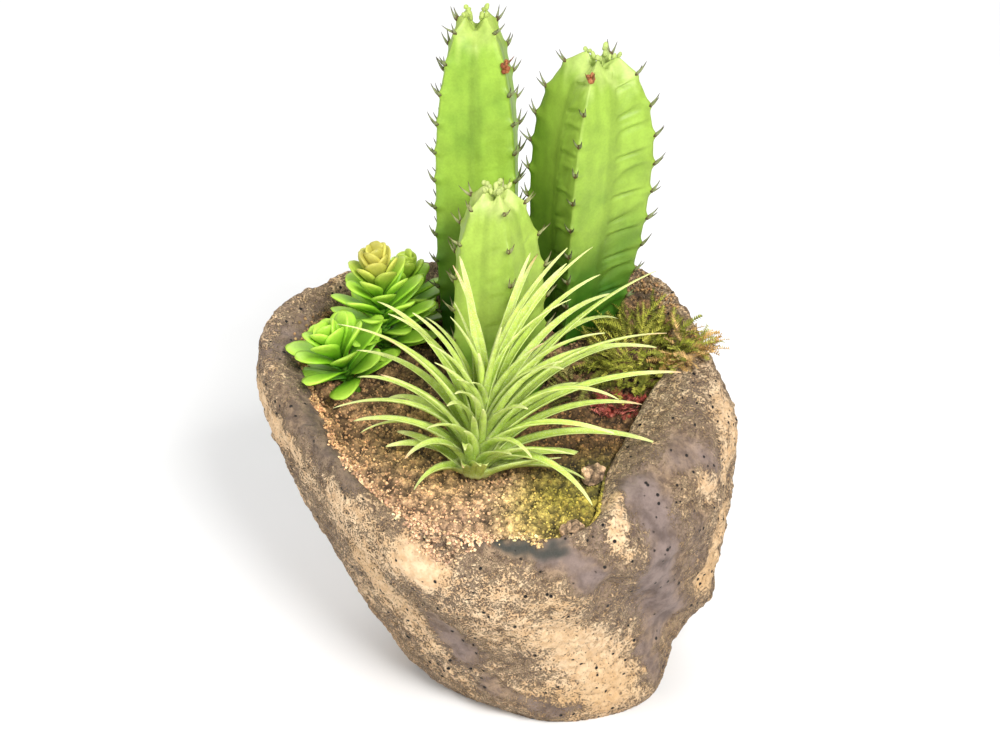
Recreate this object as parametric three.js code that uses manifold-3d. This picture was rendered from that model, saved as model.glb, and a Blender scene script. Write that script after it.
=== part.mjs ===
// Artificial succulent arrangement in a cast faux-rock planter. Millimetres, +Z up.
// The origin is the centre of the planter's flat base. -Y is the low front of the rim, +Y the high back.
// A hollow rock holds a foam block. The foam holds the stakes and stems of six plants, and a glued bed of
// sand with moss hides it. Every plant stands in its own frame: its axis is +Z and the sand is at z = 0.
import * as THREE from "three";
import { mergeVertices } from "three/addons/utils/BufferGeometryUtils.js";
import Module from "manifold-3d";

const wasm = await Module();
wasm.setup();

const TURN = 2 * Math.PI;
const GAP = 0.4; // clearance between pieces that touch
const SLIVER = 0.02; // detail finer than this is cleaned away after a cut
const rad = THREE.MathUtils.degToRad;

// ---------------------------------------------------------------- colours and finishes

const material = (color, roughness) => new THREE.MeshStandardMaterial({ color, roughness, metalness: 0 });
const FINISH = {
  rock: material(0x9c7f60, 0.85),
  foam: material(0x3f6b46, 0.95),
  sand: material(0xb98a52, 1.0),
  tallCactus: material(0x86b53a, 0.45),
  broadCactus: material(0x8dbb45, 0.45),
  shortCactus: material(0xa9cf55, 0.45),
  stake: material(0x4c5f2b, 0.6),
  airLeaf: material(0xa7bf62, 0.6),
  sedumLeaf: material(0x74b02f, 0.4),
  sedumStem: material(0x7d9a3f, 0.5),
  moss: material(0x8a8d2e, 1.0),
  strawMoss: material(0xc08b45, 1.0),
  redMoss: material(0xb04a35, 1.0),
  grit: material(0xd6a676, 1.0),
};

// ---------------------------------------------------------------- helpers

/** The cubic through b and c that leaves each with the slope of its neighbours. */
function cubic(a, b, c, d, f) {
  const slopes = (c - a) * f + (2 * a - 5 * b + 4 * c - d) * f * f;
  return b + 0.5 * (slopes + (3 * b - a - 3 * c + d) * f * f * f);
}

/** Smooth value at an angle, from values given at equal steps round a turn, starting at +X. */
function around(values, angle) {
  const n = values.length;
  const place = (((angle / TURN) % 1) + 1) % 1 * n;
  const i = Math.floor(place);
  const at = (k) => values[(i + k + n) % n];
  return cubic(at(-1), at(0), at(1), at(2), place - i);
}

/** A repeatable spread from -1 to 1 for the n-th copy of something. */
function spread(n) {
  const s = Math.sin(n * 12.9898 + 4.1) * 437.585;
  return 2 * (s - Math.floor(s)) - 1;
}

/** A closed geometry as a solid, after an optional matrix. */
function solidOf(geometry, matrix = new THREE.Matrix4()) {
  const plain = new THREE.BufferGeometry();
  plain.setAttribute("position", geometry.getAttribute("position").clone());
  plain.setIndex(geometry.getIndex());
  const merged = mergeVertices(plain.applyMatrix4(matrix), 1e-4);
  const vertProperties = merged.getAttribute("position").array;
  return new wasm.Manifold(
    new wasm.Mesh({ numProp: 3, vertProperties, triVerts: new Uint32Array(merged.getIndex().array) }),
  );
}

/** A solid as a geometry, without the slivers that cuts leave. */
function geometryOf(solid) {
  const mesh = solid.simplify(SLIVER).getMesh();
  const geometry = new THREE.BufferGeometry();
  geometry.setAttribute("position", new THREE.BufferAttribute(mesh.vertProperties, 3));
  geometry.setIndex(new THREE.BufferAttribute(mesh.triVerts, 1));
  return geometry;
}

/** Moves each vertex of a geometry to what shape() says for it. */
function reshape(geometry, shape) {
  const position = geometry.getAttribute("position");
  const point = new THREE.Vector3();
  for (let i = 0; i < position.count; i++) {
    point.copy(shape(point.fromBufferAttribute(position, i)));
    position.setXYZ(i, point.x, point.y, point.z);
  }
  return geometry;
}

/** A closed surface round an upright axis: shape(angle, level) gives its point, for each whole level. The
 *  first and last levels are the two ends of the axis, and the levels run up the outside. */
function turned(levels, segments, shape) {
  const profile = [];
  for (let i = 0; i < levels; i++) profile.push(new THREE.Vector2(i === 0 || i === levels - 1 ? 0 : 1, i));
  const lathe = new THREE.LatheGeometry(profile, segments);
  const position = lathe.getAttribute("position");
  for (let i = 0; i < position.count; i++) {
    const segment = Math.floor(i / levels) % segments;
    const point = shape((segment / segments) * TURN, Math.round(position.getY(i)));
    position.setXYZ(i, point.x, point.y, point.z);
  }
  return lathe;
}

/** A round rod along +Z between two heights, tapering from radius to topRadius. */
function rod(radius, low, high, topRadius = radius, sides = 12) {
  const height = high - low;
  const upright = new THREE.CylinderGeometry(topRadius, radius, height, sides).rotateX(Math.PI / 2);
  return upright.translate(0, 0, low + height / 2);
}

const arrangement = new THREE.Group();

function add(name, geometry, finish, frame = new THREE.Matrix4()) {
  const mesh = new THREE.Mesh(geometry, finish);
  mesh.name = name;
  mesh.applyMatrix4(frame);
  arrangement.add(mesh);
}

// ---------------------------------------------------------------- planter

// The rock is a loft through level outlines. An outline has its own centre and a radius every 22.5 degrees,
// anticlockwise from +X, and stands at a share of the rim's height, or at a fixed height.
const RIM_HEIGHT = [109, 113, 119, 121, 119, 118, 117, 114, 109, 102, 97, 92, 90, 91, 97, 103];
const OUTSIDE = [
  { height: 0, centre: [0, 0], radii: [35, 36, 34, 33, 33, 34, 38, 42, 46, 48, 46, 45, 49, 50, 50, 44] },
  { height: 11, centre: [-2, 0], radii: [46, 44, 41, 40, 39, 40, 44, 49, 53, 55, 52, 52, 54, 55, 55, 50] },
  { height: 42, centre: [-8, -1], radii: [69, 64, 59, 57, 57, 60, 65, 69, 68, 63, 61, 60, 60, 61, 62, 64] },
  { share: 0.78, centre: [-14, -2], radii: [77, 76, 74, 74, 74, 78, 86, 91, 81, 71, 70, 73, 73, 75, 75, 77] },
  { share: 1, centre: [-17, -2], radii: [70, 75, 81, 80, 74, 77, 87, 90, 78, 67, 67, 70, 69, 70, 65, 65] },
];
const MOUTH = {
  drop: 4, centre: [-17, -2], radii: [51, 65, 75, 73, 67, 70, 79, 77, 65, 60, 61, 66, 66, 67, 49, 46],
};
const CAVITY = [
  { height: 55, centre: [-11, -1], radii: [50, 56, 58, 57, 56, 58, 62, 62, 58, 54, 52, 52, 51, 50, 46, 45] },
  { height: 16, centre: [-3, 0], radii: [32, 33, 32, 31, 31, 32, 34, 36, 38, 38, 35, 34, 36, 37, 36, 34] },
];
// Hollows (negative) and swellings of the outside: a middle, a reach and a depth outwards.
const LUMPS = [
  { at: [12, -74, 84], reach: 7, depth: -3.0 },
  { at: [19, -66, 68], reach: 8, depth: -3.4 },
  { at: [28, -54, 49], reach: 9, depth: -3.4 },
  { at: [34, -40, 26], reach: 9, depth: -3.0 },
  { at: [24, -58, 80], reach: 8, depth: 3.0 },
  { at: [44, -42, 60], reach: 15, depth: -2.6 },
  { at: [60, -4, 57], reach: 8, depth: -3.0 },
  { at: [62, -6, 95], reach: 13, depth: 3.6 },
  { at: [60, -22, 79], reach: 9, depth: -3.6 },
  { at: [55, -18, 30], reach: 9, depth: 5.5 },
  { at: [48, -34, 22], reach: 8, depth: -2.4 },
  { at: [42, -12, 8], reach: 7, depth: -3.0 },
  { at: [-20, -66, 50], reach: 22, depth: 2.6 },
  { at: [-92, -20, 76], reach: 12, depth: -2.5 },
  { at: [-52, -60, 62], reach: 13, depth: -1.8 },
  { at: [-46, 58, 60], reach: 18, depth: -3.0 },
  { at: [20, 62, 62], reach: 16, depth: 3.0 },
];
const ROCK_SEGMENTS = 64;

function outlinePoint({ height, share, drop, centre, radii }, angle, inset = 0) {
  const rim = around(RIM_HEIGHT, angle);
  const z = height ?? (share ? share * rim : rim - drop);
  const radius = around(radii, angle) - inset;
  return new THREE.Vector3(centre[0] + radius * Math.cos(angle), centre[1] + radius * Math.sin(angle), z);
}

/** A point of the rock's outside and lip: 0 is the foot, 4 the crest of the rim and 5 its mouth. */
function outsidePoint(angle, level) {
  const outlines = [...OUTSIDE, MOUTH];
  const i = Math.min(Math.floor(level), outlines.length - 2);
  const [a, b, c, d] = [-1, 0, 1, 2].map((k) =>
    outlinePoint(outlines[THREE.MathUtils.clamp(i + k, 0, outlines.length - 1)], angle),
  );
  const point = new THREE.Vector3();
  for (const axis of ["x", "y", "z"]) point[axis] = cubic(a[axis], b[axis], c[axis], d[axis], level - i);
  const out = new THREE.Vector3(Math.cos(angle), Math.sin(angle), 0);
  for (const { at, reach, depth } of LUMPS) {
    const away = point.distanceTo(new THREE.Vector3(...at)) / reach;
    if (level > 0) point.addScaledVector(out, depth * Math.exp(-away * away));
  }
  point.z = Math.max(point.z, 0);
  return point;
}

/** A point of the cavity's wall at a height: straight between the mouth, the shoulder and the floor. */
function cavityPoint(angle, z, inset = 0) {
  const [shoulder, floor] = CAVITY.map((outline) => outlinePoint(outline, angle, inset));
  const mouth = outlinePoint(MOUTH, angle, inset);
  const [low, high] = z < shoulder.z ? [floor, shoulder] : [shoulder, mouth];
  return low.clone().lerp(high, (z - low.z) / (high.z - low.z));
}

function planterSolid() {
  const outside = [0, 0.45, 1, 1.35, 1.7, 2, 2.3, 2.6, 3, 3.25, 3.5, 3.75, 4, 4.35, 4.7, 5];
  const rings = [
    () => new THREE.Vector3(0, 0, 0),
    ...outside.map((level) => (angle) => outsidePoint(angle, level)),
    (angle) => cavityPoint(angle, CAVITY[0].height),
    (angle) => cavityPoint(angle, CAVITY[1].height),
    () => new THREE.Vector3(-3, 0, CAVITY[1].height),
  ];
  return solidOf(turned(rings.length, ROCK_SEGMENTS, (angle, level) => rings[level](angle)));
}

// ---------------------------------------------------------------- foam and sand

const FOAM_TOP = 80;
const FILL_SEGMENTS = 40;
const SAND_INSET = 1.2; // the sand and the foam stay this far off the cavity's wall
const FOAM_INSET = 2;

/** Height of the sand: it falls to the front, and is heaped round the tall stems, along the left wall and
 *  highest against the wall at the back right. */
function sandHeight(x, y) {
  const heap = (cx, cy, reach, rise) => rise * Math.exp(-((x - cx) ** 2 + (y - cy) ** 2) / reach ** 2);
  return 97 + 0.14 * y + heap(10, 50, 30, 4) + heap(-70, 18, 24, 2) + heap(39, 50, 18, 11);
}

function foamSolid() {
  const floor = CAVITY[1].height + GAP;
  const rings = [
    () => new THREE.Vector3(-3, 0, floor),
    (angle) => cavityPoint(angle, floor, FOAM_INSET),
    (angle) => cavityPoint(angle, CAVITY[0].height, FOAM_INSET),
    (angle) => cavityPoint(angle, FOAM_TOP, FOAM_INSET),
    () => new THREE.Vector3(-12, -1, FOAM_TOP),
  ];
  return solidOf(turned(rings.length, FILL_SEGMENTS, (angle, level) => rings[level](angle)));
}

function sandSolid() {
  const middle = new THREE.Vector3(-14, -2, FOAM_TOP + GAP);
  const edge = (angle) => {
    const guess = cavityPoint(angle, 90, SAND_INSET);
    const belowRim = around(RIM_HEIGHT, angle) - 5;
    return cavityPoint(angle, Math.min(sandHeight(guess.x, guess.y), belowRim), SAND_INSET);
  };
  const onTop = (share) => (angle) => {
    const point = middle.clone().lerp(edge(angle), share);
    return share < 1 ? point.setZ(sandHeight(point.x, point.y)) : point;
  };
  const rings = [
    () => middle,
    (angle) => cavityPoint(angle, FOAM_TOP + GAP, SAND_INSET),
    ...[1, 0.85, 0.66, 0.45, 0.22].map(onTop),
    () => middle.clone().setZ(sandHeight(middle.x, middle.y)),
  ];
  return solidOf(turned(rings.length, FILL_SEGMENTS, (angle, level) => rings[level](angle)));
}

// ---------------------------------------------------------------- plants' places

/** Where a plant leaves the sand, how far it leans towards a compass angle, and how it is turned. */
function plantFrame({ at: [x, y], lean = 0, towards = 0, turn = 0 }) {
  const axis = new THREE.Vector3(-Math.sin(rad(towards)), Math.cos(rad(towards)), 0);
  const frame = new THREE.Matrix4().makeTranslation(x, y, sandHeight(x, y));
  frame.multiply(new THREE.Matrix4().makeRotationAxis(axis, rad(lean)));
  return frame.multiply(new THREE.Matrix4().makeRotationZ(rad(turn)));
}

// ---------------------------------------------------------------- cactus stems

const STAKE = { radius: 3, into: 18, down: 52, bore: 3.4 };
const SPINE = { length: 5.2, radius: 0.75, sunk: 1.2, rise: 32, fork: 30, apart: 0.45 };
const BURIED = 7; // how far a stem's foot is below the sand

// radius is at the rib crests at the widest level; valley is the share of it left between ribs.
const CACTI = {
  tall_cactus: {
    place: { at: [-25, 46], lean: 1.5, towards: 100, turn: 42 },
    ribs: 4, radius: 19.8, height: 119, foot: 0.84, widest: 0.4, blunt: 0.55, valley: 0.66, areoles: 12,
    finish: FINISH.tallCactus,
  },
  broad_cactus: {
    place: { at: [10, 46], lean: 4, towards: 0, turn: 73 },
    ribs: 4, radius: 22.5, height: 102, foot: 0.6, widest: 0.6, blunt: 0.66, valley: 0.6, areoles: 10,
    finish: FINISH.broadCactus,
  },
  short_cactus: {
    place: { at: [-19, 9], lean: 0, towards: 90, turn: 0 },
    ribs: 5, radius: 17.5, height: 79, foot: 0.86, widest: 0.38, blunt: 0.5, valley: 0.74, areoles: 7,
    finish: FINISH.shortCactus,
  },
};

/** Share of the widest radius at a share of the height: swelling to the widest level, then rounded off. */
function girth({ foot, widest, blunt }, t) {
  if (t < widest) return foot + (1 - foot) * Math.sin((t / widest) * (Math.PI / 2));
  if (t < blunt) return 1;
  return Math.sqrt(Math.max(0, 1 - 0.93 * ((t - blunt) / (1 - blunt)) ** 2));
}

/** Share of the crest radius at an angle: 1 on each rib, and flat faces down to the valley between two. */
function ribShare({ ribs, valley }, angle) {
  const half = Math.PI / ribs;
  const away = Math.abs((((angle + half) % (2 * half)) + 2 * half) % (2 * half) - half);
  const depth = valley * Math.sin(half);
  return depth / (depth * Math.cos(away) + (1 - valley * Math.cos(half)) * Math.sin(away));
}

function stemSolid(cactus, grow = 0) {
  const { ribs, radius, height } = cactus;
  const shares = [0, 0.12, 0.26, 0.4, 0.54, 0.66, 0.76, 0.85, 0.92, 0.97, 1];
  const body = turned(shares.length + 2, ribs * 6, (angle, level) => {
    if (level === 0) return new THREE.Vector3(0, 0, -BURIED - grow);
    if (level > shares.length) return new THREE.Vector3(0, 0, height * 0.955);
    const t = shares[level - 1];
    const r = radius * girth(cactus, t) * ribShare(cactus, angle) + grow;
    const crown = t === 1 ? 0.96 + 0.04 * ribShare(cactus, angle) : t;
    const z = t === 0 ? -BURIED - grow : -BURIED + (height + BURIED) * crown;
    return new THREE.Vector3(r * Math.cos(angle), r * Math.sin(angle), z);
  });
  return solidOf(body);
}

/** One spine of the pair on a rib: a thin three-sided cone, rising and turned to one side. */
function spineSolid(cactus, rib, areole, side) {
  const t = (areole + 0.9) / (cactus.areoles + 0.4);
  const z = -BURIED + (cactus.height + BURIED) * t;
  const cone = new THREE.ConeGeometry(SPINE.radius, SPINE.length + SPINE.sunk, 3);
  cone.translate(0, (SPINE.length + SPINE.sunk) / 2 - SPINE.sunk, 0).rotateZ(-Math.PI / 2);
  cone.rotateY(-rad(SPINE.rise)).rotateZ(rad(side * SPINE.fork));
  cone.translate(cactus.radius * girth(cactus, t), side * SPINE.apart, z);
  return solidOf(cone.rotateZ((rib / cactus.ribs) * TURN));
}

function cactusSolid(cactus) {
  const spines = [];
  for (let rib = 0; rib < cactus.ribs; rib++)
    for (let areole = 1; areole < cactus.areoles; areole++)
      for (const side of [-1, 1]) spines.push(spineSolid(cactus, rib, areole, side));
  const bore = solidOf(rod(STAKE.bore, -BURIED - 5, -BURIED + STAKE.into + GAP));
  return wasm.Manifold.union([stemSolid(cactus), ...spines]).subtract(bore);
}

// ---------------------------------------------------------------- leaves

/** One leaf in the plane of +X and +Z, flat above and keeled below: it starts at a radius from the axis and
 *  bends along a circular arc from one steepness to another. outline(t) is the share of its width and
 *  thickness at a share t of its length. */
function leafGeometry({ start, length, width, thick, from, to, steps = 4, outline }) {
  const [a, b] = [rad(from), rad(to)];
  const bend = b - a || 1e-6;
  return reshape(new THREE.ConeGeometry(1, 1, 3, steps), (p) => {
    const t = Math.min(p.y + 0.5, 1);
    const share = 1 - t > 1e-6 ? outline(t) / (1 - t) : 0;
    const slope = a + bend * t;
    const along = start + (length * (Math.sin(slope) - Math.sin(a))) / bend;
    const up = (length * (Math.cos(a) - Math.cos(slope))) / bend;
    const lift = -p.z * share * thick * 0.6;
    const across = p.x * share * width * 0.6;
    return new THREE.Vector3(along - lift * Math.sin(slope), across, up + lift * Math.cos(slope));
  });
}

/** A ring of leaves round a bored hub, all joined. leafAt(angle, seed) gives the leaf at an angle. */
function whorlSolid({ hub, bore, hubHeight, leaves, z, arc = [0, 360], phase = 0, wander = 0, leafAt, seed }) {
  const parts = [];
  const span = rad(arc[1] - arc[0]);
  const full = arc[1] - arc[0] >= 360;
  for (let i = 0; i < leaves; i++) {
    const share = full ? i / leaves : i / (leaves - 1);
    const angle = rad(arc[0] + phase) + span * share + rad(wander) * spread(seed + i);
    const leaf = leafGeometry(leafAt(angle, seed + i));
    parts.push(solidOf(leaf.rotateZ(angle).translate(0, 0, z + hubHeight / 2)));
  }
  const ring = solidOf(rod(hub, z, z + hubHeight, hub, 10));
  return wasm.Manifold.union([ring, ...parts]).subtract(solidOf(rod(bore, z - 9, z + 90)));
}

// ---------------------------------------------------------------- air plant

const AIR = {
  place: { at: [-26, -34], lean: 10, towards: 0, turn: 0 },
  coreRadius: 1.6,
  coreTop: 20,
  coreDown: 50,
  hubHeight: 2.6,
  pitch: 3.2,
  pocket: 3, // clear of the sand round the lowest hub
  leafThick: 1.3,
  uneven: 0.1, // how much the blades differ in length
};
// The blades on one side are longer, and those on the front shorter and steeper.
const LONG_SIDE = { towards: 30, gain: 0.22 };
const FRONT_SIDE = { towards: 272, loss: 0.34, from: 84, to: 60, pull: 0.55 };
const bladeOutline = (t) => (1 + 0.2 * Math.max(0, 1 - t / 0.2)) * (1 - t) ** 0.62;
// From the lowest whorl to the heart. The arc is the part of the turn that the whorl's leaves take.
const AIR_WHORLS = [
  { hub: 8.0, leaves: 9, arc: [150, 372], length: 31, from: 38, to: -10, width: 5.4 },
  { hub: 7.2, leaves: 12, arc: [140, 400], length: 48, from: 56, to: -24, width: 5.2 },
  { hub: 6.4, leaves: 13, arc: [135, 405], length: 60, from: 68, to: -12, width: 5.0 },
  { hub: 5.6, leaves: 13, arc: [130, 410], length: 66, from: 73, to: 8, width: 4.9 },
  { hub: 4.8, leaves: 12, arc: [112, 394], length: 59, from: 83, to: 28, width: 4.7 },
  { hub: 3.4, leaves: 10, arc: [20, 380], length: 54, from: 89, to: 56, width: 4.4 },
];

/** The blade of a whorl at an angle. */
function airBlade({ hub, length, from, to, width }, angle, seed) {
  const longer = LONG_SIDE.gain * Math.cos(angle - rad(LONG_SIDE.towards)) + AIR.uneven * spread(seed + 31);
  const ahead = Math.max(0, Math.cos(angle - rad(FRONT_SIDE.towards))) ** 2;
  return {
    start: hub - 1.2 + ahead,
    length: length * (1 + longer) * (1 - FRONT_SIDE.loss * ahead),
    width,
    thick: AIR.leafThick,
    from: from + (FRONT_SIDE.from - from) * FRONT_SIDE.pull * ahead,
    to: to + (FRONT_SIDE.to - to) * FRONT_SIDE.pull * ahead,
    outline: bladeOutline,
  };
}

function airWhorlSolid(whorl, k) {
  const { hub, leaves, arc } = whorl;
  const { hubHeight, pitch, coreRadius } = AIR;
  const leafAt = (angle, seed) => airBlade(whorl, angle, seed);
  const ring = { hub, bore: coreRadius + GAP, hubHeight, z: k * pitch };
  return whorlSolid({ ...ring, leaves, arc, wander: 4, leafAt, seed: 7 * k });
}

// ---------------------------------------------------------------- sedum sprigs

const SEDUM = {
  stemRadius: 1.5, stemDown: 44, hub: 3, hubHeight: 3, lowest: 3.5, bud: 10, leafThick: 1.9, uneven: 0.1,
};
// The sprigs stand in a row, where their leaves have less room.
const SPRIG_ROW = { along: 60, loss: 0.42 };
const SPRIGS = {
  centre_sprig: {
    place: { at: [-57, 28], lean: 5, towards: 170 },
    whorls: 7, height: 44, leaf: 17, width: 8.4,
  },
  left_sprig: {
    place: { at: [-68, 10], lean: 22, towards: 190 },
    whorls: 5, height: 27, leaf: 15, width: 9,
  },
  back_sprig: {
    place: { at: [-51, 44], lean: 4, towards: 90 },
    whorls: 5, height: 33, leaf: 12, width: 7.5,
  },
};

/** A narrow foot, widest at about two thirds of the length, and a round end. */
function sedumOutline(t) {
  const widening = 0.34 + 0.66 * Math.min(1, t / 0.6);
  return widening * Math.sqrt(1 - Math.max(0, (t - 0.62) / 0.38) ** 2);
}

const sedumPitch = (sprig) => (sprig.height - SEDUM.bud) / (sprig.whorls - 1);

/** The k-th whorl of a sprig: four rounded leaves, smaller and steeper towards the tip. */
function sedumWhorlSolid(sprig, k) {
  const rise = k / (sprig.whorls - 1);
  const grown = Math.min(1, 0.42 + 0.9 * (1 - rise));
  const leaf = {
    start: 1.8,
    length: sprig.leaf * grown,
    width: sprig.width * grown ** 0.75,
    thick: SEDUM.leafThick,
    from: 22 + 62 * rise ** 2,
    to: 8 + 68 * rise ** 2,
    outline: sedumOutline,
  };
  const leafAt = (angle, seed) => {
    const inRow = Math.cos(angle - rad(SPRIG_ROW.along)) ** 2;
    const uneven = 1 + SEDUM.uneven * spread(seed);
    return { ...leaf, length: leaf.length * (1 - SPRIG_ROW.loss * inRow) * uneven };
  };
  const { stemRadius, hub, hubHeight, lowest } = SEDUM;
  const ring = { hub, bore: stemRadius + GAP, hubHeight, z: lowest + k * sedumPitch(sprig) };
  return whorlSolid({ ...ring, leaves: 4, phase: 45 * (k % 2), leafAt, seed: 90 + k });
}

// ---------------------------------------------------------------- moss and grit

/** A low lumpy cushion, resting on the sand or the rim. */
function cushionSolid({ at: [x, y], rise, size: [width, depth, height], lobes = 5, seed = 1 }) {
  const z = sandHeight(x, y) + rise;
  const lump = reshape(new THREE.SphereGeometry(1, 14, 7).rotateX(Math.PI / 2), (p) => {
    const edge = 1 + 0.1 * Math.sin(lobes * Math.atan2(p.y, p.x) + seed);
    return p.set(x + p.x * width * edge, y + p.y * depth * edge, z + p.z * height);
  });
  return solidOf(lump);
}

const CUSHIONS = {
  moss_mat: { at: [33, 26], rise: 0.2, size: [14, 13, 7], lobes: 5, seed: 2, finish: FINISH.moss },
  moss_under_leaves: { at: [9, 12], rise: 0, size: [9, 8, 5], lobes: 4, seed: 5, finish: FINISH.moss },
  straw_moss: { at: [51, 15], rise: 11, size: [11, 9, 5], lobes: 5, seed: 4, finish: FINISH.strawMoss },
  red_moss: { at: [24, 0], rise: 1, size: [6, 5, 4], lobes: 3, seed: 3, finish: FINISH.redMoss },
  front_grit_lump: { at: [6, -64], rise: 1, size: [4, 4, 5], lobes: 3, seed: 6, finish: FINISH.grit },
  side_grit_lump: { at: [13, -36], rise: 1, size: [4, 5, 5], lobes: 3, seed: 8, finish: FINISH.grit },
};

// ---------------------------------------------------------------- assembly

const planter = planterSolid();
const rockAndGap = wasm.Manifold.union(
  [[0, 0, GAP], [-GAP, 0, 0], [GAP, 0, 0], [0, GAP, 0], [0, -GAP, 0]].map((move) => planter.translate(move)),
);
let foam = foamSolid();
let sand = sandSolid();
add("planter_rock", geometryOf(planter), FINISH.rock);

for (const [name, cactus] of Object.entries(CACTI)) {
  const frame = plantFrame(cactus.place);
  const [low, high] = [-STAKE.down, -BURIED + STAKE.into];
  add(name, geometryOf(cactusSolid(cactus)), cactus.finish, frame);
  add(`${name}_stake`, rod(STAKE.radius, low, high), FINISH.stake, frame);
  const socket = solidOf(rod(STAKE.bore, low - GAP, 0), frame);
  foam = foam.subtract(socket);
  sand = sand.subtract(socket).subtract(stemSolid(cactus, GAP).transform(frame.elements));
}

const airFrame = plantFrame(AIR.place);
add("air_plant_core", rod(AIR.coreRadius, -AIR.coreDown, AIR.coreTop), FINISH.airLeaf, airFrame);
AIR_WHORLS.forEach((whorl, k) => {
  add(`air_plant_whorl_${k + 1}`, geometryOf(airWhorlSolid(whorl, k)), FINISH.airLeaf, airFrame);
});
const airSocket = solidOf(rod(AIR.coreRadius + GAP, -AIR.coreDown - GAP, 5), airFrame);
foam = foam.subtract(airSocket);
sand = sand.subtract(airSocket).subtract(solidOf(rod(AIR_WHORLS[0].hub + AIR.pocket, -GAP, 20), airFrame));

for (const [name, sprig] of Object.entries(SPRIGS)) {
  const frame = plantFrame(sprig.place);
  const top = SEDUM.lowest + SEDUM.hubHeight + (sprig.whorls - 1) * sedumPitch(sprig);
  add(`${name}_stem`, rod(SEDUM.stemRadius, -SEDUM.stemDown, top, 1.2, 10), FINISH.sedumStem, frame);
  for (let k = 0; k < sprig.whorls; k++)
    add(`${name}_whorl_${k + 1}`, geometryOf(sedumWhorlSolid(sprig, k)), FINISH.sedumLeaf, frame);
  const socket = solidOf(rod(SEDUM.stemRadius + GAP, -SEDUM.stemDown - GAP, 5), frame);
  foam = foam.subtract(socket);
  sand = sand.subtract(socket);
}

add("foam_block", geometryOf(foam), FINISH.foam);
add("sand_bed", geometryOf(sand), FINISH.sand);

const sandAndGap = sand.translate([0, 0, GAP]).add(sand);
for (const [name, cushion] of Object.entries(CUSHIONS)) {
  const shape = cushionSolid(cushion).subtract(sandAndGap).subtract(rockAndGap);
  add(name, geometryOf(shape.decompose().sort((a, b) => b.volume() - a.volume())[0]), cushion.finish);
}

export default arrangement;
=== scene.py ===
"""The looks of the artificial succulent arrangement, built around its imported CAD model.

Sizes are in millimetres in the constants and the shape functions, and MM turns them into Blender's metres.
Every plant is made in its own frame: its axis is +Z and the sand is at z = 0. plant_frame() puts it in place.
Colours are linear RGB. A piece carries its painted colours in the point attribute "tint".
"""

import math
import random

import bpy
import numpy as np
from mathutils import Matrix, Vector, noise
from mathutils.bvhtree import BVHTree


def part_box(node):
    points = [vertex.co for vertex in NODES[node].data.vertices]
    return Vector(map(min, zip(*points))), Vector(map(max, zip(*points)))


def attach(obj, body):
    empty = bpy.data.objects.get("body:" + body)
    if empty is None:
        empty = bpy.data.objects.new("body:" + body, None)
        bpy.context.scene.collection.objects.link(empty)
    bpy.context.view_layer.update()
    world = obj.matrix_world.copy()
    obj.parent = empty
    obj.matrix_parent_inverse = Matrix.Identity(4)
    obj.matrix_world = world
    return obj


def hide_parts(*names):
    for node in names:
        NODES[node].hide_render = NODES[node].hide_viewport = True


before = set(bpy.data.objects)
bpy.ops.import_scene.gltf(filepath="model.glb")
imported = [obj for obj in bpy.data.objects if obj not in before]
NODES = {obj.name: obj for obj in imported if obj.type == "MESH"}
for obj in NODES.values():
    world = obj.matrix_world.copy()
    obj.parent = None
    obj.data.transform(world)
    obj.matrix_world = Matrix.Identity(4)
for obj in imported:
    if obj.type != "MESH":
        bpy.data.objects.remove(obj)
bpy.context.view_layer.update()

MM = 0.001
TURN = 2 * math.pi
BODY = "root"

# ---------------------------------------------------------------- meshes


class Sculpt:
    """Collects the points, faces and tints of one piece."""

    def __init__(self):
        self.points, self.faces, self.tints, self.count = [], [], [], 0

    def add(self, points, faces, tint, place=None):
        """Adds points in millimetres; tint is one colour or one for each point."""
        points = np.asarray(points, float)
        if place is not None:
            turn = np.array(place.to_3x3())
            points = points @ turn.T + np.array(place.translation)
        self.points.append(points)
        self.faces.extend([[i + self.count for i in face] for face in faces])
        self.tints.append(np.broadcast_to(np.asarray(tint, float), (len(points), 3)))
        self.count += len(points)

    def piece(self, name, material, slot, replaces=(), smooth=True):
        mesh = bpy.data.meshes.new(name)
        mesh.from_pydata((np.concatenate(self.points) * MM).tolist(), [], self.faces)
        paint_points(mesh, "tint", *np.concatenate(self.tints).T)
        if smooth:
            mesh.shade_smooth()
        else:
            mesh.shade_flat()
        return placed(name, mesh, material, replaces)


def paint_points(mesh, name, red, green, blue, alpha=1.0):
    values = np.empty((len(mesh.vertices), 4))
    for channel, value in enumerate((red, green, blue, alpha)):
        values[:, channel] = np.clip(value, 0, 1)
    mesh.attributes.new(name, "FLOAT_COLOR", "POINT").data.foreach_set("color", values.ravel())


def placed(name, mesh, material, replaces):
    """Shows a mesh as a piece of the part: what it is made of, and which CAD nodes it stands for."""
    mesh.materials.clear()
    mesh.materials.append(material)
    piece = bpy.data.objects.new(name, mesh)
    bpy.context.collection.objects.link(piece)
    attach(piece, BODY)
    if replaces:
        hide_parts(*replaces)
    return piece


def tube_faces(rings, sides):
    """Faces of a closed skin over rings of points, in order along the tube."""
    faces = []
    for k in range(rings - 1):
        for i in range(sides):
            j = (i + 1) % sides
            faces.append((k * sides + i, k * sides + j, (k + 1) * sides + j, (k + 1) * sides + i))
    faces.append(tuple(reversed(range(sides))))
    faces.append(tuple(range((rings - 1) * sides, rings * sides)))
    return faces


def blend(a, b, share):
    """Colours or numbers between a and b; share may be an array with one value for each point."""
    share = np.asarray(share, float)[..., None] if np.ndim(share) else share
    return np.asarray(a, float) * (1 - share) + np.asarray(b, float) * share


def smoothstep(low, high, value):
    x = np.clip((value - low) / (high - low), 0, 1)
    return x * x * (3 - 2 * x)


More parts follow.
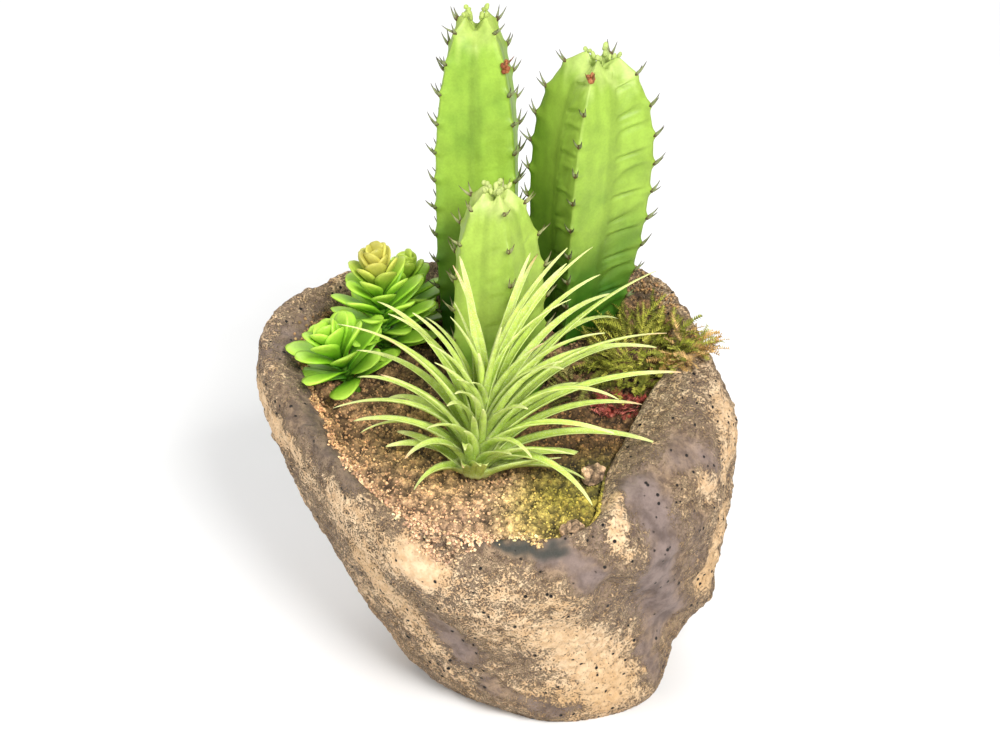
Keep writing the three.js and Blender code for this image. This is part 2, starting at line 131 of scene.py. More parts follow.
def spread(n):
    """A repeatable spread from -1 to 1 for the n-th copy of something, as the CAD model has it."""
    s = math.sin(n * 12.9898 + 4.1) * 437.585
    return 2 * (s - math.floor(s)) - 1


def circle(sides):
    """Angles round a ring, with their cosines and sines."""
    angles = [i / sides * TURN for i in range(sides)]
    return [(a, math.cos(a), math.sin(a)) for a in angles]


def tree_of(obj):
    mesh = obj.data
    mesh.calc_loop_triangles()
    faces = [tuple(t.vertices) for t in mesh.loop_triangles]
    return BVHTree.FromPolygons([v.co.copy() for v in mesh.vertices], faces)


# ---------------------------------------------------------------- shader nodes


class Paint:
    """A Principled material with short ways to make the procedural nodes that feed it."""

    def __init__(self, name, roughness=0.6, specular=0.5):
        self.material = bpy.data.materials.new(name)
        self.material.use_nodes = True
        self.nodes = self.material.node_tree.nodes
        self.links = self.material.node_tree.links
        self.shader = self.nodes["Principled BSDF"]
        self.shader.inputs["Roughness"].default_value = roughness
        self.shader.inputs["Specular IOR Level"].default_value = specular
        place = self.outputs("TexCoord", {})["Object"]
        self.place = self.outputs("VectorMath", {0: place, "Scale": 1 / MM}, operation="SCALE")[0]

    def put(self, socket, value):
        if isinstance(value, bpy.types.NodeSocket):
            self.links.new(value, socket)
        elif hasattr(socket.default_value, "__len__") and len(socket.default_value) == 4:
            socket.default_value = (*value, 1)
        else:
            socket.default_value = value

    def outputs(self, kind, inputs, **settings):
        """The outputs of a new node with those settings, and a value or a socket for each of those inputs."""
        node = self.nodes.new("ShaderNode" + kind)
        for setting, choice in settings.items():
            setattr(node, setting, choice)
        for socket, value in inputs.items():
            self.put(node.inputs[socket], value)
        return node.outputs

    def noise(self, size, detail=4, rough=0.55, distort=0.0):
        """Noise with features of about that many millimetres."""
        look = {"Scale": 1 / size, "Detail": detail, "Roughness": rough, "Distortion": distort}
        return self.outputs("TexNoise", {"Vector": self.place, **look})[0]

    def cells(self, size, output="Distance"):
        """Cells of about that many millimetres."""
        return self.outputs("TexVoronoi", {"Vector": self.place, "Scale": 1 / size})[output]

    def range(self, value, low, high, to_low=0.0, to_high=1.0):
        numbers = dict(enumerate((value, low, high, to_low, to_high)))
        return self.outputs("MapRange", numbers, interpolation_type="SMOOTHSTEP")[0]

    def math(self, operation, a, b):
        return self.outputs("Math", {0: a, 1: b}, operation=operation)[0]

    def product(self, a, b):
        return self.math("MULTIPLY", a, b)

    def sum(self, a, b):
        return self.math("ADD", a, b)

    def about_zero(self, noise, gain):
        """Noise round a half as a rise and fall round nothing, that many times as strong."""
        return self.product(self.math("SUBTRACT", noise, 0.5), gain)

    def mix(self, share, a, b, kind="MIX"):
        return self.outputs("Mix", {0: share, 6: a, 7: b}, data_type="RGBA", blend_type=kind)[2]

    def grey(self, value):
        return self.outputs("CombineColor", {0: value, 1: value, 2: value})[0]

    def painted(self, name="tint", output="Color"):
        return self.outputs("Attribute", {}, attribute_name=name)[output]

    def channels(self, colour):
        return self.outputs("SeparateColor", {0: colour})

    def relief(self, *layers, strength=1.0):
        """Bumps of (height, depth in millimetres), the coarsest first."""
        normal = None
        for height, depth in layers:
            bump = {"Distance": depth * MM, "Strength": strength, "Height": height}
            if normal:
                bump["Normal"] = normal
            normal = self.outputs("Bump", bump)[0]
        self.put(self.shader.inputs["Normal"], normal)

    def finish(self, colour, roughness=None):
        self.put(self.shader.inputs["Base Color"], colour)
        if roughness is not None:
            self.put(self.shader.inputs["Roughness"], roughness)
        return self.material


# ---------------------------------------------------------------- materials


def rock_paint():
    """Dark stain dry-brushed with cream. The tint says where: red is the share of cream, green that of
    purple-grey stain, blue the surface's height, alpha how smooth it is. "hue" holds ochre, and a dark grey
    that is partly the painted shadow under the sand's lip."""
    paint = Paint("rock", roughness=0.85)
    cream_share, stain_share, height = paint.channels(paint.painted())
    smooth = paint.painted("tint", "Alpha")
    hues = paint.channels(paint.painted("hue"))
    rough = paint.math("SUBTRACT", 1.0, smooth)
    patchy = paint.noise(6.5, 4, 0.6)
    brush = paint.noise(2.6, 6, 0.78, distort=0.8)
    grain = paint.noise(0.72, 3, 0.7)
    wash = paint.noise(3.4, 4, 0.65)
    brown = paint.mix(paint.range(wash, 0.36, 0.66), (0.165, 0.106, 0.066), (0.430, 0.290, 0.172))
    stain = paint.mix(paint.range(patchy, 0.35, 0.65), (0.125, 0.088, 0.074), (0.250, 0.185, 0.160))
    under = paint.mix(stain_share, brown, stain)
    # Dark grey: partly the painted shadow under the sand's lip at the front.
    under = paint.mix(hues[1], under, (0.045, 0.045, 0.036))
    cream = paint.mix(paint.range(wash, 0.32, 0.68), (0.66, 0.425, 0.228), (0.86, 0.640, 0.405))
    cream = paint.mix(paint.product(hues[0], 0.6), cream, (0.62, 0.375, 0.160))
    fleck = paint.sum(paint.about_zero(grain, 2.3), paint.about_zero(brush, 1.7))
    fleck = paint.product(fleck, paint.sum(paint.product(rough, 0.8), 0.2))
    reach = paint.sum(cream_share, paint.product(height, 0.25))
    reach = paint.sum(reach, paint.about_zero(patchy, 0.5))
    covered = paint.range(paint.sum(reach, fleck), 0.36, 0.80)
    colour = paint.mix(covered, under, cream)
    speck = paint.product(paint.range(paint.noise(1.3, 2, 0.6), 0.60, 0.70), paint.product(rough, 0.6))
    colour = paint.mix(speck, colour, (0.10, 0.062, 0.042))
    # Pinholes, sunk in the relief and painted near black: the black is painted shade inside them.
    pore = paint.range(paint.cells(3.8), 0.13, 0.19, 1.0, 0.0)
    pore = paint.product(pore, paint.range(paint.noise(9, 2), 0.45, 0.50))
    colour = paint.mix(pore, colour, (0.010, 0.007, 0.006))
    raised = paint.math("SUBTRACT", 1.0, pore)
    paint.relief((patchy, 0.6), (brush, 0.55), (covered, 0.34), (grain, 0.42), (raised, 0.9),
                 strength=paint.sum(paint.product(rough, 0.75), 0.25))
    return paint.finish(colour, paint.range(grain, 0.3, 0.7, 0.72, 0.95))


def sand_paint(name, depth):
    """Painted grains of mixed brightness, with a crumb of finer grit on them."""
    paint = Paint(name, roughness=0.95)
    grit = paint.noise(0.55, 3, 0.7)
    cell = paint.cells(0.9, output="Color")
    shade = paint.product(paint.range(grit, 0.25, 0.75, 0.55, 1.35),
                          paint.range(paint.channels(cell)[0], 0, 1, 0.72, 1.25))
    colour = paint.mix(1.0, paint.painted(), paint.grey(shade), "MULTIPLY")
    paint.relief((paint.noise(1.6, 3), depth), (grit, 0.35 * depth))
    return paint.finish(colour, paint.range(grit, 0.3, 0.7, 0.85, 1.0))


def plastic_plant_paint(name, roughness, mottle, fine, bump):
    """Moulded plastic with a painted colour, and cloudy mottling and a fine skin that shade it by mottle."""
    paint = Paint(name, roughness=roughness, specular=0.3)
    cloud = paint.noise(7, 4, 0.6)
    skin = paint.noise(fine, 3, 0.6)
    shade = paint.product(paint.range(cloud, 0.3, 0.7, 1 - mottle, 1 + mottle),
                          paint.range(skin, 0.3, 0.7, 1 - 0.5 * mottle, 1 + 0.5 * mottle))
    colour = paint.mix(1.0, paint.painted(), paint.grey(shade), "MULTIPLY")
    paint.relief((cloud, 4 * bump), (skin, bump))
    return paint.finish(colour, paint.range(cloud, 0.3, 0.7, roughness - 0.07, roughness + 0.1))


def air_leaf_paint():
    """Flocked blades: a pale bloom of fine scales over the green."""
    paint = Paint("air_leaf", roughness=0.6, specular=0.3)
    scales = paint.noise(0.42, 2, 0.7)
    streak = paint.noise(3.2, 3, 0.6)
    frosted = paint.mix(paint.range(scales, 0.46, 0.66, 0.0, 0.36), paint.painted(), (0.74, 0.80, 0.58))
    shade = paint.grey(paint.range(streak, 0.3, 0.7, 0.86, 1.12))
    colour = paint.mix(1.0, frosted, shade, "MULTIPLY")
    paint.relief((streak, 0.10), (scales, 0.07))
    return paint.finish(colour, paint.range(scales, 0.4, 0.7, 0.5, 0.75))


def foam_paint():
    paint = Paint("foam", roughness=0.95)
    bubbles = paint.cells(0.8)
    colour = paint.mix(paint.range(bubbles, 0.2, 0.6), (0.03, 0.07, 0.035), (0.09, 0.18, 0.09))
    paint.relief((bubbles, 0.3))
    return paint.finish(colour)


def floor_paint():
    paint = Paint("floor", roughness=0.55)
    cloud = paint.noise(160, 3)
    return paint.finish(paint.mix(paint.range(cloud, 0.3, 0.7), (0.86, 0.86, 0.855), (0.90, 0.90, 0.895)))


# ---------------------------------------------------------------- plants' places, as in the CAD model


def heap(x, y, cx, cy, reach, rise):
    return rise * math.exp(-((x - cx) ** 2 + (y - cy) ** 2) / reach**2)


def sand_height(x, y):
    return 97 + 0.14 * y + heap(x, y, 10, 50, 30, 4) + heap(x, y, -70, 18, 24, 2) + heap(x, y, 39, 50, 18, 11)


def plant_frame(at, lean=0.0, towards=0.0, turn=0.0):
    """Where a plant leaves the sand, how far it leans towards a compass angle, and how it is turned."""
    axis = Vector((-math.sin(math.radians(towards)), math.cos(math.radians(towards)), 0))
    place = Matrix.Translation((at[0], at[1], sand_height(*at)))
    tilt = Matrix.Rotation(math.radians(lean), 4, axis)
    return place @ tilt @ Matrix.Rotation(math.radians(turn), 4, "Z")


def spun(place, angle, out=0.0, up=0.0):
    """A place in a plant's frame: turned about its axis, then out from it and up."""
    return place @ Matrix.Rotation(angle, 4, "Z") @ Matrix.Translation((out, 0, up))


# ---------------------------------------------------------------- planter

# Where the rock's paint changes. Each stroke runs between two places with a reach, and adds its amounts of
# cream, stain, smoothness, ochre, and dark grey that is partly painted shadow.
PAINT_STROKES = [
    # the smooth cream patch at the upper left of the front
    ((-46, -67, 82), (-41, -70, 78), 6.5, dict(cream=0.70, smooth=0.6, stain=-0.6)),
    # flecked cream below the left of the rim, and along the left edge
    ((-68, -46, 86), (-56, -60, 76), 9, dict(cream=0.34)),
    ((-62, -48, 64), (-40, -50, 32), 8, dict(cream=0.36, ochre=0.3)),
    # the pale middle of the front, with its pits
    ((-14, -72, 68), (12, -58, 30), 16, dict(cream=0.30)),
    ((4, -66, 44), (22, -50, 20), 10, dict(cream=0.22, ochre=0.35)),
    ((-4, -56, 14), (26, -46, 12), 9, dict(cream=0.32, ochre=0.7)),
    # the tan ridge right of the notch in the rim
    ((19, -52, 97), (21, -66, 84), 4.5, dict(cream=0.45, ochre=0.35)),
    # the pale upper cheek and the ochre edge at the right
    ((56, -8, 100), (62, -18, 88), 9, dict(cream=0.45, ochre=0.2)),
    ((50, -34, 90), (54, -32, 86), 5, dict(cream=0.45)),
    ((60, -24, 70), (54, -22, 40), 6.5, dict(cream=0.40, ochre=0.8)),
    # purple-grey at the top of the groove, and down the right of it
    ((0, -71, 86), (12, -70, 74), 5, dict(cream=-0.75, stain=1.0, smooth=0.8)),
    ((30, -50, 94), (36, -58, 66), 8, dict(cream=-0.75, stain=0.9, smooth=0.7)),
    ((38, -54, 62), (41, -38, 34), 8, dict(cream=-0.75, stain=1.0, smooth=0.8)),
    ((42, -32, 97), (52, -26, 92), 8, dict(cream=-0.55, stain=0.8, smooth=0.5)),
    ((46, -44, 78), (52, -36, 58), 7, dict(cream=-0.30, stain=0.5)),
    # dark patches low on the left and right, and along the foot
    ((-38, -56, 46), (-31, -54, 34), 7, dict(cream=-0.55, stain=0.5, smooth=0.6)),
    ((-22, -53, 17), (6, -55, 7), 5, dict(cream=-0.5, stain=0.6, smooth=0.4)),
    ((31, -44, 28), (35, -38, 12), 5, dict(cream=-0.65, stain=0.7, smooth=0.6)),
    # brown below the front of the rim
    ((-26, -73, 82), (-6, -73, 78), 8, dict(cream=-0.16)),
    # a painted shadow in dark grey under the sand's lip at the front, and dark grey inside the left of the
    # rim
    ((-30, -71, 89.5), (2, -72, 88), 3.0, dict(cream=-0.9, slate_and_shadow=1.0, smooth=0.8)),
    ((-90, 10, 108), (-84, -14, 105), 6, dict(cream=-0.25, stain=0.2)),
    ((-84, -14, 104), (-64, -48, 98), 6, dict(cream=-0.5, slate_and_shadow=0.35, smooth=0.15)),
    ((-100, 10, 100), (-93, -22, 92), 6, dict(cream=0.60)),
    ((-93, -22, 92), (-80, -42, 78), 7, dict(cream=0.50)),
    ((-84, -36, 72), (-70, -48, 56), 7, dict(cream=0.30, ochre=0.3)),
    ((-96, 14, 108), (-84, 34, 112), 5, dict(cream=-0.5, stain=0.4)),
    # the sides and the back
    ((-84, 30, 90), (-70, 34, 40), 14, dict(cream=0.20)),
    ((-60, 62, 90), (-40, 60, 50), 12, dict(cream=-0.4, stain=0.7, smooth=0.4)),
    ((-10, 72, 90), (10, 66, 50), 14, dict(cream=0.25)),
    ((44, 56, 100), (46, 48, 50), 11, dict(cream=-0.4, stain=0.7, smooth=0.4)),
    ((60, 20, 90), (56, 14, 50), 11, dict(cream=0.25, ochre=0.3)),
]
# Shapes worked into the rock: each runs between two places with a reach and a rise.
SHAPE_STROKES = [
    ((4, -72, 86), (20, -66, 66), 4.5, -1.3),
    ((20, -66, 66), (36, -50, 44), 6.5, -2.2),
    ((36, -50, 44), (43, -34, 29), 5.5, -2.6),
    ((-37.6, -69, 90.5), (-33, -72.4, 84.5), 0.9, -1.0),
    ((-33, -72.4, 84.5), (-34.4, -73.3, 75.5), 0.9, -1.0),
    ((19, -54, 97), (21, -66, 84), 4, 1.1),
    ((62, -28, 82), (44, -46, 84), 3.5, -1.6),
    ((-30, -62, 36), (-38, -55, 48), 6, -1.2),
    ((-70, -50, 92), (-60, -60, 78), 3, -0.8),
]
ROCK_VOXEL = 0.8
CAVITY_CALM = 0.35  # how much of the roughness the cavity's wall has
PLANTER_AXIS = (-14.0, -1.0)
FLOOR_OF_CAVITY = 10


def stroke_share(points, start, end, reach):
    """1 on the line between two places, falling to nothing at about twice the reach."""
    start, end = np.array(start, float), np.array(end, float)
    along = end - start
    share = np.clip((points - start) @ along / (along @ along), 0, 1)
    away = np.linalg.norm(points - start - share[:, None] * along, axis=1) / reach
    return np.exp(-(away**2.6))


def remeshed(node, name, voxel, smoothing):
    """A fine, evenly meshed copy of a CAD node, with its facets smoothed away."""
    copy = bpy.data.objects.new(name + "_raw", NODES[node].data.copy())
    bpy.context.collection.objects.link(copy)
    grid = copy.modifiers.new("grid", "REMESH")
    grid.mode = "VOXEL"
    grid.voxel_size = voxel * MM
    soften = copy.modifiers.new("soften", "SMOOTH")
    soften.iterations = smoothing
    graph = bpy.context.evaluated_depsgraph_get()
    mesh = bpy.data.meshes.new_from_object(copy.evaluated_get(graph))
    bpy.data.objects.remove(copy)
    mesh.name = name
    return mesh


def points_and_normals(mesh):
    points = np.empty(3 * len(mesh.vertices))
    mesh.vertices.foreach_get("co", points)
    normals = np.empty(3 * len(mesh.vertices))
    mesh.vertex_normals.foreach_get("vector", normals)
    return points.reshape(-1, 3) / MM, normals.reshape(-1, 3)


def fractal(points, size, octaves=3, shift=0.0):
    """Rough noise with lumps of about that size; the shift picks another run of it."""
    origin = Vector((shift,) * 3)
    return np.array([noise.fractal(Vector(p) / size + origin, 0.8, 2.1, octaves) for p in points])


def rock_zones(points):
    """How much cream, stain, smoothness, ochre, and dark grey that is partly painted shadow there is at each
    point.
    """
    drift = np.stack([fractal(points, 9, 3, 11.0 + 5 * k) for k in range(3)], axis=1)
    wandering = points + 3.0 * drift
    none = np.zeros(len(points))
    cream = 0.48 + 0.22 * fractal(points, 16, 3, 1.3)
    stain = 0.15 + 0.5 * fractal(points, 22, 2, 4.2)
    ochre = 0.15 + 0.5 * fractal(points, 24, 2, 8.8)
    zones = dict(cream=cream, stain=stain, smooth=none, ochre=ochre, slate_and_shadow=none)
    for start, end, reach, amounts in PAINT_STROKES:
        share = stroke_share(wandering, start, end, reach)
        for kind, amount in amounts.items():
            zones[kind] = zones[kind] + amount * share
    return {kind: np.clip(values, 0, 1) for kind, values in zones.items()}


def make_planter():
    mesh = remeshed("planter_rock", "rock_planter", ROCK_VOXEL, 8)
    points, normals = points_and_normals(mesh)
    inward = ((points[:, :2] - PLANTER_AXIS) * normals[:, :2]).sum(axis=1) < 0
    calm = np.where(inward & (points[:, 2] > FLOOR_OF_CAVITY), CAVITY_CALM, 1.0)
    zones = rock_zones(points)
    rough = 1 - 0.75 * zones["smooth"]
    lumps = fractal(points, 24, 3)
    knocks = -np.abs(fractal(points, 9, 3, 7.7))
    fine = fractal(points, 2.6, 3, 3.1)
    rise = 1.2 * lumps + rough * (1.4 * (knocks + 0.25) + 0.45 * fine) + 0.4
    for start, end, reach, height in SHAPE_STROKES:
        rise = rise + height * stroke_share(points, start, end, reach)
    rise = rise * calm
    grounded = smoothstep(0.5, 6, points[:, 2])
    moved = points + normals * (rise * (0.15 + 0.85 * grounded))[:, None]
    moved[:, 2] = np.maximum(np.where(points[:, 2] < 0.6, 0, moved[:, 2]), 0)
    mesh.vertices.foreach_set("co", (moved * MM).ravel())
    height = 0.5 + 0.5 * knocks + 0.5 * fine
    paint_points(mesh, "tint", zones["cream"], zones["stain"], height, zones["smooth"])
    paint_points(mesh, "hue", zones["ochre"], zones["slate_and_shadow"], 0)
    mesh.shade_smooth()
    return placed("rock_planter", mesh, rock_paint(), ("planter_rock",))


# ---------------------------------------------------------------- sand

# Colours of the sand by place: x, y, reach and the colour there.
SAND_COLOURS = [
    (-50, -45, 20, (0.82, 0.50, 0.29)),
    (-20, -66, 18, (0.86, 0.55, 0.33)),
    (-70, -5, 20, (0.72, 0.42, 0.20)),
    (-45, -20, 16, (0.46, 0.31, 0.08)),
    (-38, -34, 13, (0.50, 0.32, 0.10)),
    (-6, -59, 11, (0.66, 0.53, 0.08)),
    (3, -48, 10, (0.52, 0.42, 0.06)),
    (10, -34, 9, (0.13, 0.12, 0.025)),
    (4, -16, 13, (0.32, 0.17, 0.06)),
    (22, 4, 14, (0.26, 0.14, 0.06)),
    (34, 34, 18, (0.40, 0.23, 0.10)),
    (-50, 40, 24, (0.36, 0.22, 0.09)),
    (0, 56, 20, (0.36, 0.21, 0.10)),
]
GRAIN_KINDS = 8
GRAINS_ON_BED = 8500
GRAINS_ON_WALL = 4200
CRUMBS_ON_LIP = 330
GRAINS_IN_CRUMB = 16
LIP_REACH = 7.5  # how far the sand lies over the rim's inner edge
GRAIN_RADIUS = (0.24, 0.62)
# Some grains are dark, some pale, most near the colour of their place.
TONES, TONE_ODDS = (0.4, 0.75, 1.0, 1.2, 1.45), (0.14, 0.2, 0.36, 0.22, 0.08)
RIM_MIDDLE = (-14, -2)
SAND_SUNK = 1.5  # how far under the bed's usual height the grains on the wall begin
SAND_VOXEL = 0.65
LUMP_VOXEL = 0.4
LUMP_COLOUR = (0.92, 0.60, 0.35)
# Sizes of the crumbs that the glued sand breaks into, and how high they stand.
CRUMBS = ((4.8, 2.8), (2.2, 1.4))


def sand_colour(x, y):
    weights = [heap(x, y, *spot, 1) + 1e-6 for *spot, _ in SAND_COLOURS]
    colours = np.array([colour for *_, colour in SAND_COLOURS])
    return (np.array(weights)[:, None] * colours).sum(axis=0) / sum(weights)


def crumbled(points):
    """Crumbs stuck together: how far each point rises, how deep it is in a gap, and its crumb's own tone."""
    rise, gap, tone = np.zeros(len(points)), np.zeros(len(points)), np.zeros(len(points))
    for size, tall in CRUMBS:
        for i, point in enumerate(points):
            near, middles = noise.voronoi(Vector(point) / size + Vector((0.3, 0.2, 0.1)) * size)
            rise[i] += tall * (0.45 - near[0])
            gap[i] += 0.5 * math.exp(-(((near[1] - near[0]) / 0.11) ** 2))
            tone[i] += 0.5 * noise.cell(middles[0] * 7.3)
    return rise, gap, tone


def crumbly_piece(node, name, voxel, material, colour=None):
    """A CAD node of glued sand as crumbs: they show on its top and sides, not under it."""
    mesh = remeshed(node, name, voxel, 3)
    points, normals = points_and_normals(mesh)
    upper = smoothstep(-0.2, 0.5, normals[:, 2])
    rise, gap, tone = crumbled(points)
    rise = rise + 0.9 * fractal(points, 9, 3, 5.0) + 0.30 * fractal(points, 1.1, 2, 2.0)
    moved = points + normals * (upper * rise)[:, None]
    mesh.vertices.foreach_set("co", (moved * MM).ravel())
    tint = np.array([colour or sand_colour(x, y) for x, y, _ in points])
    # Painted shade deep in the gaps between the crumbs and on low ground, painted light on raised crumbs; the
    # tone is each crumb's own colour.
    tint = tint * ((0.80 + 0.60 * tone) * (1 - 0.80 * gap) * (0.80 + 0.28 * rise))[:, None]
    paint_points(mesh, "tint", *tint.T)
    mesh.shade_smooth()
    return placed(name, mesh, material, (node,))


def grain_kinds(rng):
    """A few knobbly grains with twelve corners, of about unit radius."""
    g = (1 + math.sqrt(5)) / 2
    corners = [(-1, g, 0), (1, g, 0), (-1, -g, 0), (1, -g, 0), (0, -1, g), (0, 1, g),
               (0, -1, -g), (0, 1, -g), (g, 0, -1), (g, 0, 1), (-g, 0, -1), (-g, 0, 1)]
    faces = [(0, 11, 5), (0, 5, 1), (0, 1, 7), (0, 7, 10), (0, 10, 11), (1, 5, 9), (5, 11, 4), (11, 10, 2),
             (10, 7, 6), (7, 1, 8), (3, 9, 4), (3, 4, 2), (3, 2, 6), (3, 6, 8), (3, 8, 9), (4, 9, 5),
             (2, 4, 11), (6, 2, 10), (8, 6, 7), (9, 8, 1)]
    ball = np.array(corners) / math.hypot(1, g)
    kinds = []
    for _ in range(GRAIN_KINDS):
        kinds.append(ball * rng.uniform(0.7, 1.15, (12, 1)) * rng.uniform(0.75, 1.15, (1, 3)))
    return np.array(kinds), np.array(faces)


def random_turns(rng, count):
    """Evenly spread rotation matrices, from unit quaternions."""
    q = rng.normal(size=(count, 4))
    w, x, y, z = (q / np.linalg.norm(q, axis=1)[:, None]).T
    rows = [[1 - 2 * (y * y + z * z), 2 * (x * y - z * w), 2 * (x * z + y * w)],
            [2 * (x * y + z * w), 1 - 2 * (x * x + z * z), 2 * (y * z - x * w)],
            [2 * (x * z - y * w), 2 * (y * z + x * w), 1 - 2 * (x * x + y * y)]]
    return np.moveaxis(np.array(rows), 2, 0)


def scatter_grains(name, spots, colours, radii, material, rng):
    """One piece of many grains, each turned its own way, at spots in millimetres."""
    kinds, faces = grain_kinds(rng)
    count = len(spots)
    shapes = kinds[rng.integers(0, GRAIN_KINDS, count)]
    shapes = np.einsum("nij,nkj->nki", random_turns(rng, count), shapes)
    points = shapes * radii[:, None, None] + np.array(spots)[:, None, :]
    all_faces = (faces[None] + 12 * np.arange(count)[:, None, None]).reshape(-1, 3)
    sculpt = Sculpt()
    sculpt.add(points.reshape(-1, 3), all_faces.tolist(), np.repeat(colours, 12, axis=0))
    return sculpt.piece(name, material, "sand", smooth=False)


def mixed_tones(rng, place):
    """The colour of one grain at a place."""
    tone = rng.choice(TONES, p=TONE_ODDS)
    return np.clip(sand_colour(*place[:2]) * tone * rng.uniform(0.94, 1.06, 3), 0, 1)


def in_mm(place):
    return np.array(place) / MM


def from_middle(tree, height, way):
    """Where a level ray from the middle of the bed meets the planter, and the surface's normal there."""
    return tree.ray_cast(Vector((*RIM_MIDDLE, height)) * MM, way)[:2]


def make_bed_grains(sand, material):
    rng = np.random.default_rng(11)
    tree = tree_of(sand)
    low, high = (in_mm(corner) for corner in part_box("sand_bed"))
    spots, colours = [], []
    while len(spots) < GRAINS_ON_BED:
        x, y = rng.uniform(low[:2], high[:2])
        hit, normal = tree.ray_cast(Vector((x, y, 200)) * MM, Vector((0, 0, -1)))[:2]
        if hit is None or normal.z < 0.2 or hit.z < 0.08:
            continue
        spots.append(in_mm(hit) + (0, 0, rng.uniform(-0.1, 0.3)))
        colours.append(mixed_tones(rng, (x, y)))
    radii = rng.uniform(*GRAIN_RADIUS, len(spots))
    radii = radii * rng.choice([0.8, 1.0, 1.5], len(spots), p=[0.4, 0.45, 0.15])
    return scatter_grains("sand_grains", spots, np.array(colours), radii, material, rng)


def make_lip_grains(planter, material):
    """Crumbs of sand stuck over the inner edge of the rim, at the front and the left."""
    rng = np.random.default_rng(13)
    tree = tree_of(planter)
    spots, colours = [], []
    while len(spots) < CRUMBS_ON_LIP * GRAINS_IN_CRUMB:
        angle = math.radians(rng.uniform(140, 278))
        way = Vector((math.cos(angle), math.sin(angle), 0))
        height = sand_height(RIM_MIDDLE[0] + 60 * way.x, RIM_MIDDLE[1] + 60 * way.y) - 1.0
        wall = from_middle(tree, height, way)[0]
        if wall is None:
            continue
        over = LIP_REACH * (rng.random() ** 1.4 * (0.75 + 0.25 * math.sin(9 * angle)) - 0.15)
        hit = tree.ray_cast(wall + way * over * MM + Vector((0, 0, 0.03)), Vector((0, 0, -1)))[0]
        if hit is None or abs(hit.z / MM - height) > 8:
            continue
        middle = in_mm(hit) + (0, 0, 0.3)
        tone = rng.uniform(0.8, 1.2)
        size = rng.uniform(0.5, 1.3)
        for _ in range(GRAINS_IN_CRUMB):
            spots.append(middle + rng.normal(0, size, 3) * (1, 1, 0.6))
            colours.append(tone * mixed_tones(rng, middle))
    radii = rng.uniform(*GRAIN_RADIUS, len(spots)) * 1.2
    return scatter_grains("lip_grains", spots, np.clip(colours, 0, 1), radii, material, rng)


def wall_climb(angle):
    """How high the sand sticks to the wall: highest at the back right and at the left."""
    return 2.2 + 10 * math.exp(-(((angle - 0.9) / 0.5) ** 2)) + 9 * math.exp(-(((angle - 2.75) / 0.45) ** 2))


def make_wall_grains(planter, material):
    """Grains stuck on the inside of the rim, found by one ray near the sand and one at their own height."""
    rng = np.random.default_rng(12)
    tree = tree_of(planter)
    spots, colours = [], []
    while len(spots) < GRAINS_ON_WALL:
        angle = rng.uniform(0, TURN)
        ray = Vector((math.cos(angle), math.sin(angle), 0))
        place = (RIM_MIDDLE[0] + 55 * ray.x, 55 * ray.y)
        height = sand_height(*place) - SAND_SUNK + wall_climb(angle) * rng.uniform(0, 1) ** 1.6
        hit, normal = from_middle(tree, height, ray)
        if hit is None or normal.dot(ray) > 0:
            continue
        place = in_mm(hit + normal * 0.3 * MM)[:2]
        height = sand_height(*place) - SAND_SUNK + wall_climb(angle) * rng.uniform(0, 1) ** 1.6
        hit, normal = from_middle(tree, height, ray)
        if hit is None:
            continue
        spots.append(in_mm(hit + normal * 0.3 * MM))
        colours.append(mixed_tones(rng, place))
    radii = rng.uniform(*GRAIN_RADIUS, len(spots)) * 1.3
    return scatter_grains("wall_grains", spots, np.array(colours), radii, material, rng)


# ---------------------------------------------------------------- cacti

BURIED = 7.0
SPINE = {"length": 5.0, "radius": 0.6, "rise": 34, "fork": 19, "apart": 0.5, "rings": 7, "sides": 7}
# The bark and the tip of a spine, by the cactus's slot.
SPINE_COLOURS = {
    "green_cactus": ((0.24, 0.27, 0.12), (0.050, 0.034, 0.022)),
    "pale_cactus": ((0.35, 0.36, 0.16), (0.10, 0.06, 0.03)),
}
AREOLE_COLOUR, SPINE_FOOT_COLOUR = (0.13, 0.085, 0.03), (0.09, 0.05, 0.02)
# The stems' colours: low at the foot, partly the stem's own deep green and partly painted shade near the sand
# and between the stems; high further up; crest along the ribs' edges and over the crown.
CACTI = {
    "tall_cactus": dict(
        place=dict(at=(-25, 46), lean=1.5, towards=100, turn=42), ribs=4, radius=19.8, height=119,
        slot="green_cactus", foot=0.84, widest=0.4, blunt=0.55, valley=0.66, areoles=12, crease=0.12,
        low=(0.040, 0.150, 0.008), high=(0.270, 0.430, 0.045), crest=(0.450, 0.560, 0.130), seed=1,
    ),
    "broad_cactus": dict(
        place=dict(at=(10, 46), lean=4, towards=0, turn=73), ribs=4, radius=22.5, height=102,
        slot="green_cactus", foot=0.6, widest=0.6, blunt=0.66, valley=0.60, areoles=10, crease=0.95,
        low=(0.030, 0.125, 0.006), high=(0.290, 0.440, 0.055), crest=(0.480, 0.590, 0.170), seed=2,
    ),
    "short_cactus": dict(
        place=dict(at=(-19, 9), lean=0, towards=90, turn=0), ribs=5, radius=17.5, height=79,
        slot="pale_cactus", foot=0.86, widest=0.38, blunt=0.5, valley=0.74, areoles=7, crease=0.25,
        low=(0.100, 0.240, 0.014), high=(0.340, 0.480, 0.070), crest=(0.540, 0.620, 0.200), seed=3,
    ),
}
RUST, PALE_RUST = (0.190, 0.048, 0.017), (0.45, 0.17, 0.06)
RUST_KNOBS = 7
# Damaged places: cactus, rib, areole.
RUSTED = {("tall_cactus", 3, 10), ("broad_cactus", 2, 9)}
CREST_DEPTH = 0.86  # share of the rib beyond which its edge is paler
CROWN_DIP = 0.045  # share of the height by which the crown's middle lies low
CROWN_RINGS = (0.75, 0.45, 0.15)
# Knobs where a rib runs in over the crown: how far out, and how tall.
CROWN_KNOBS = ((0.98, 1.2), (0.72, 1.0), (0.45, 1.3))


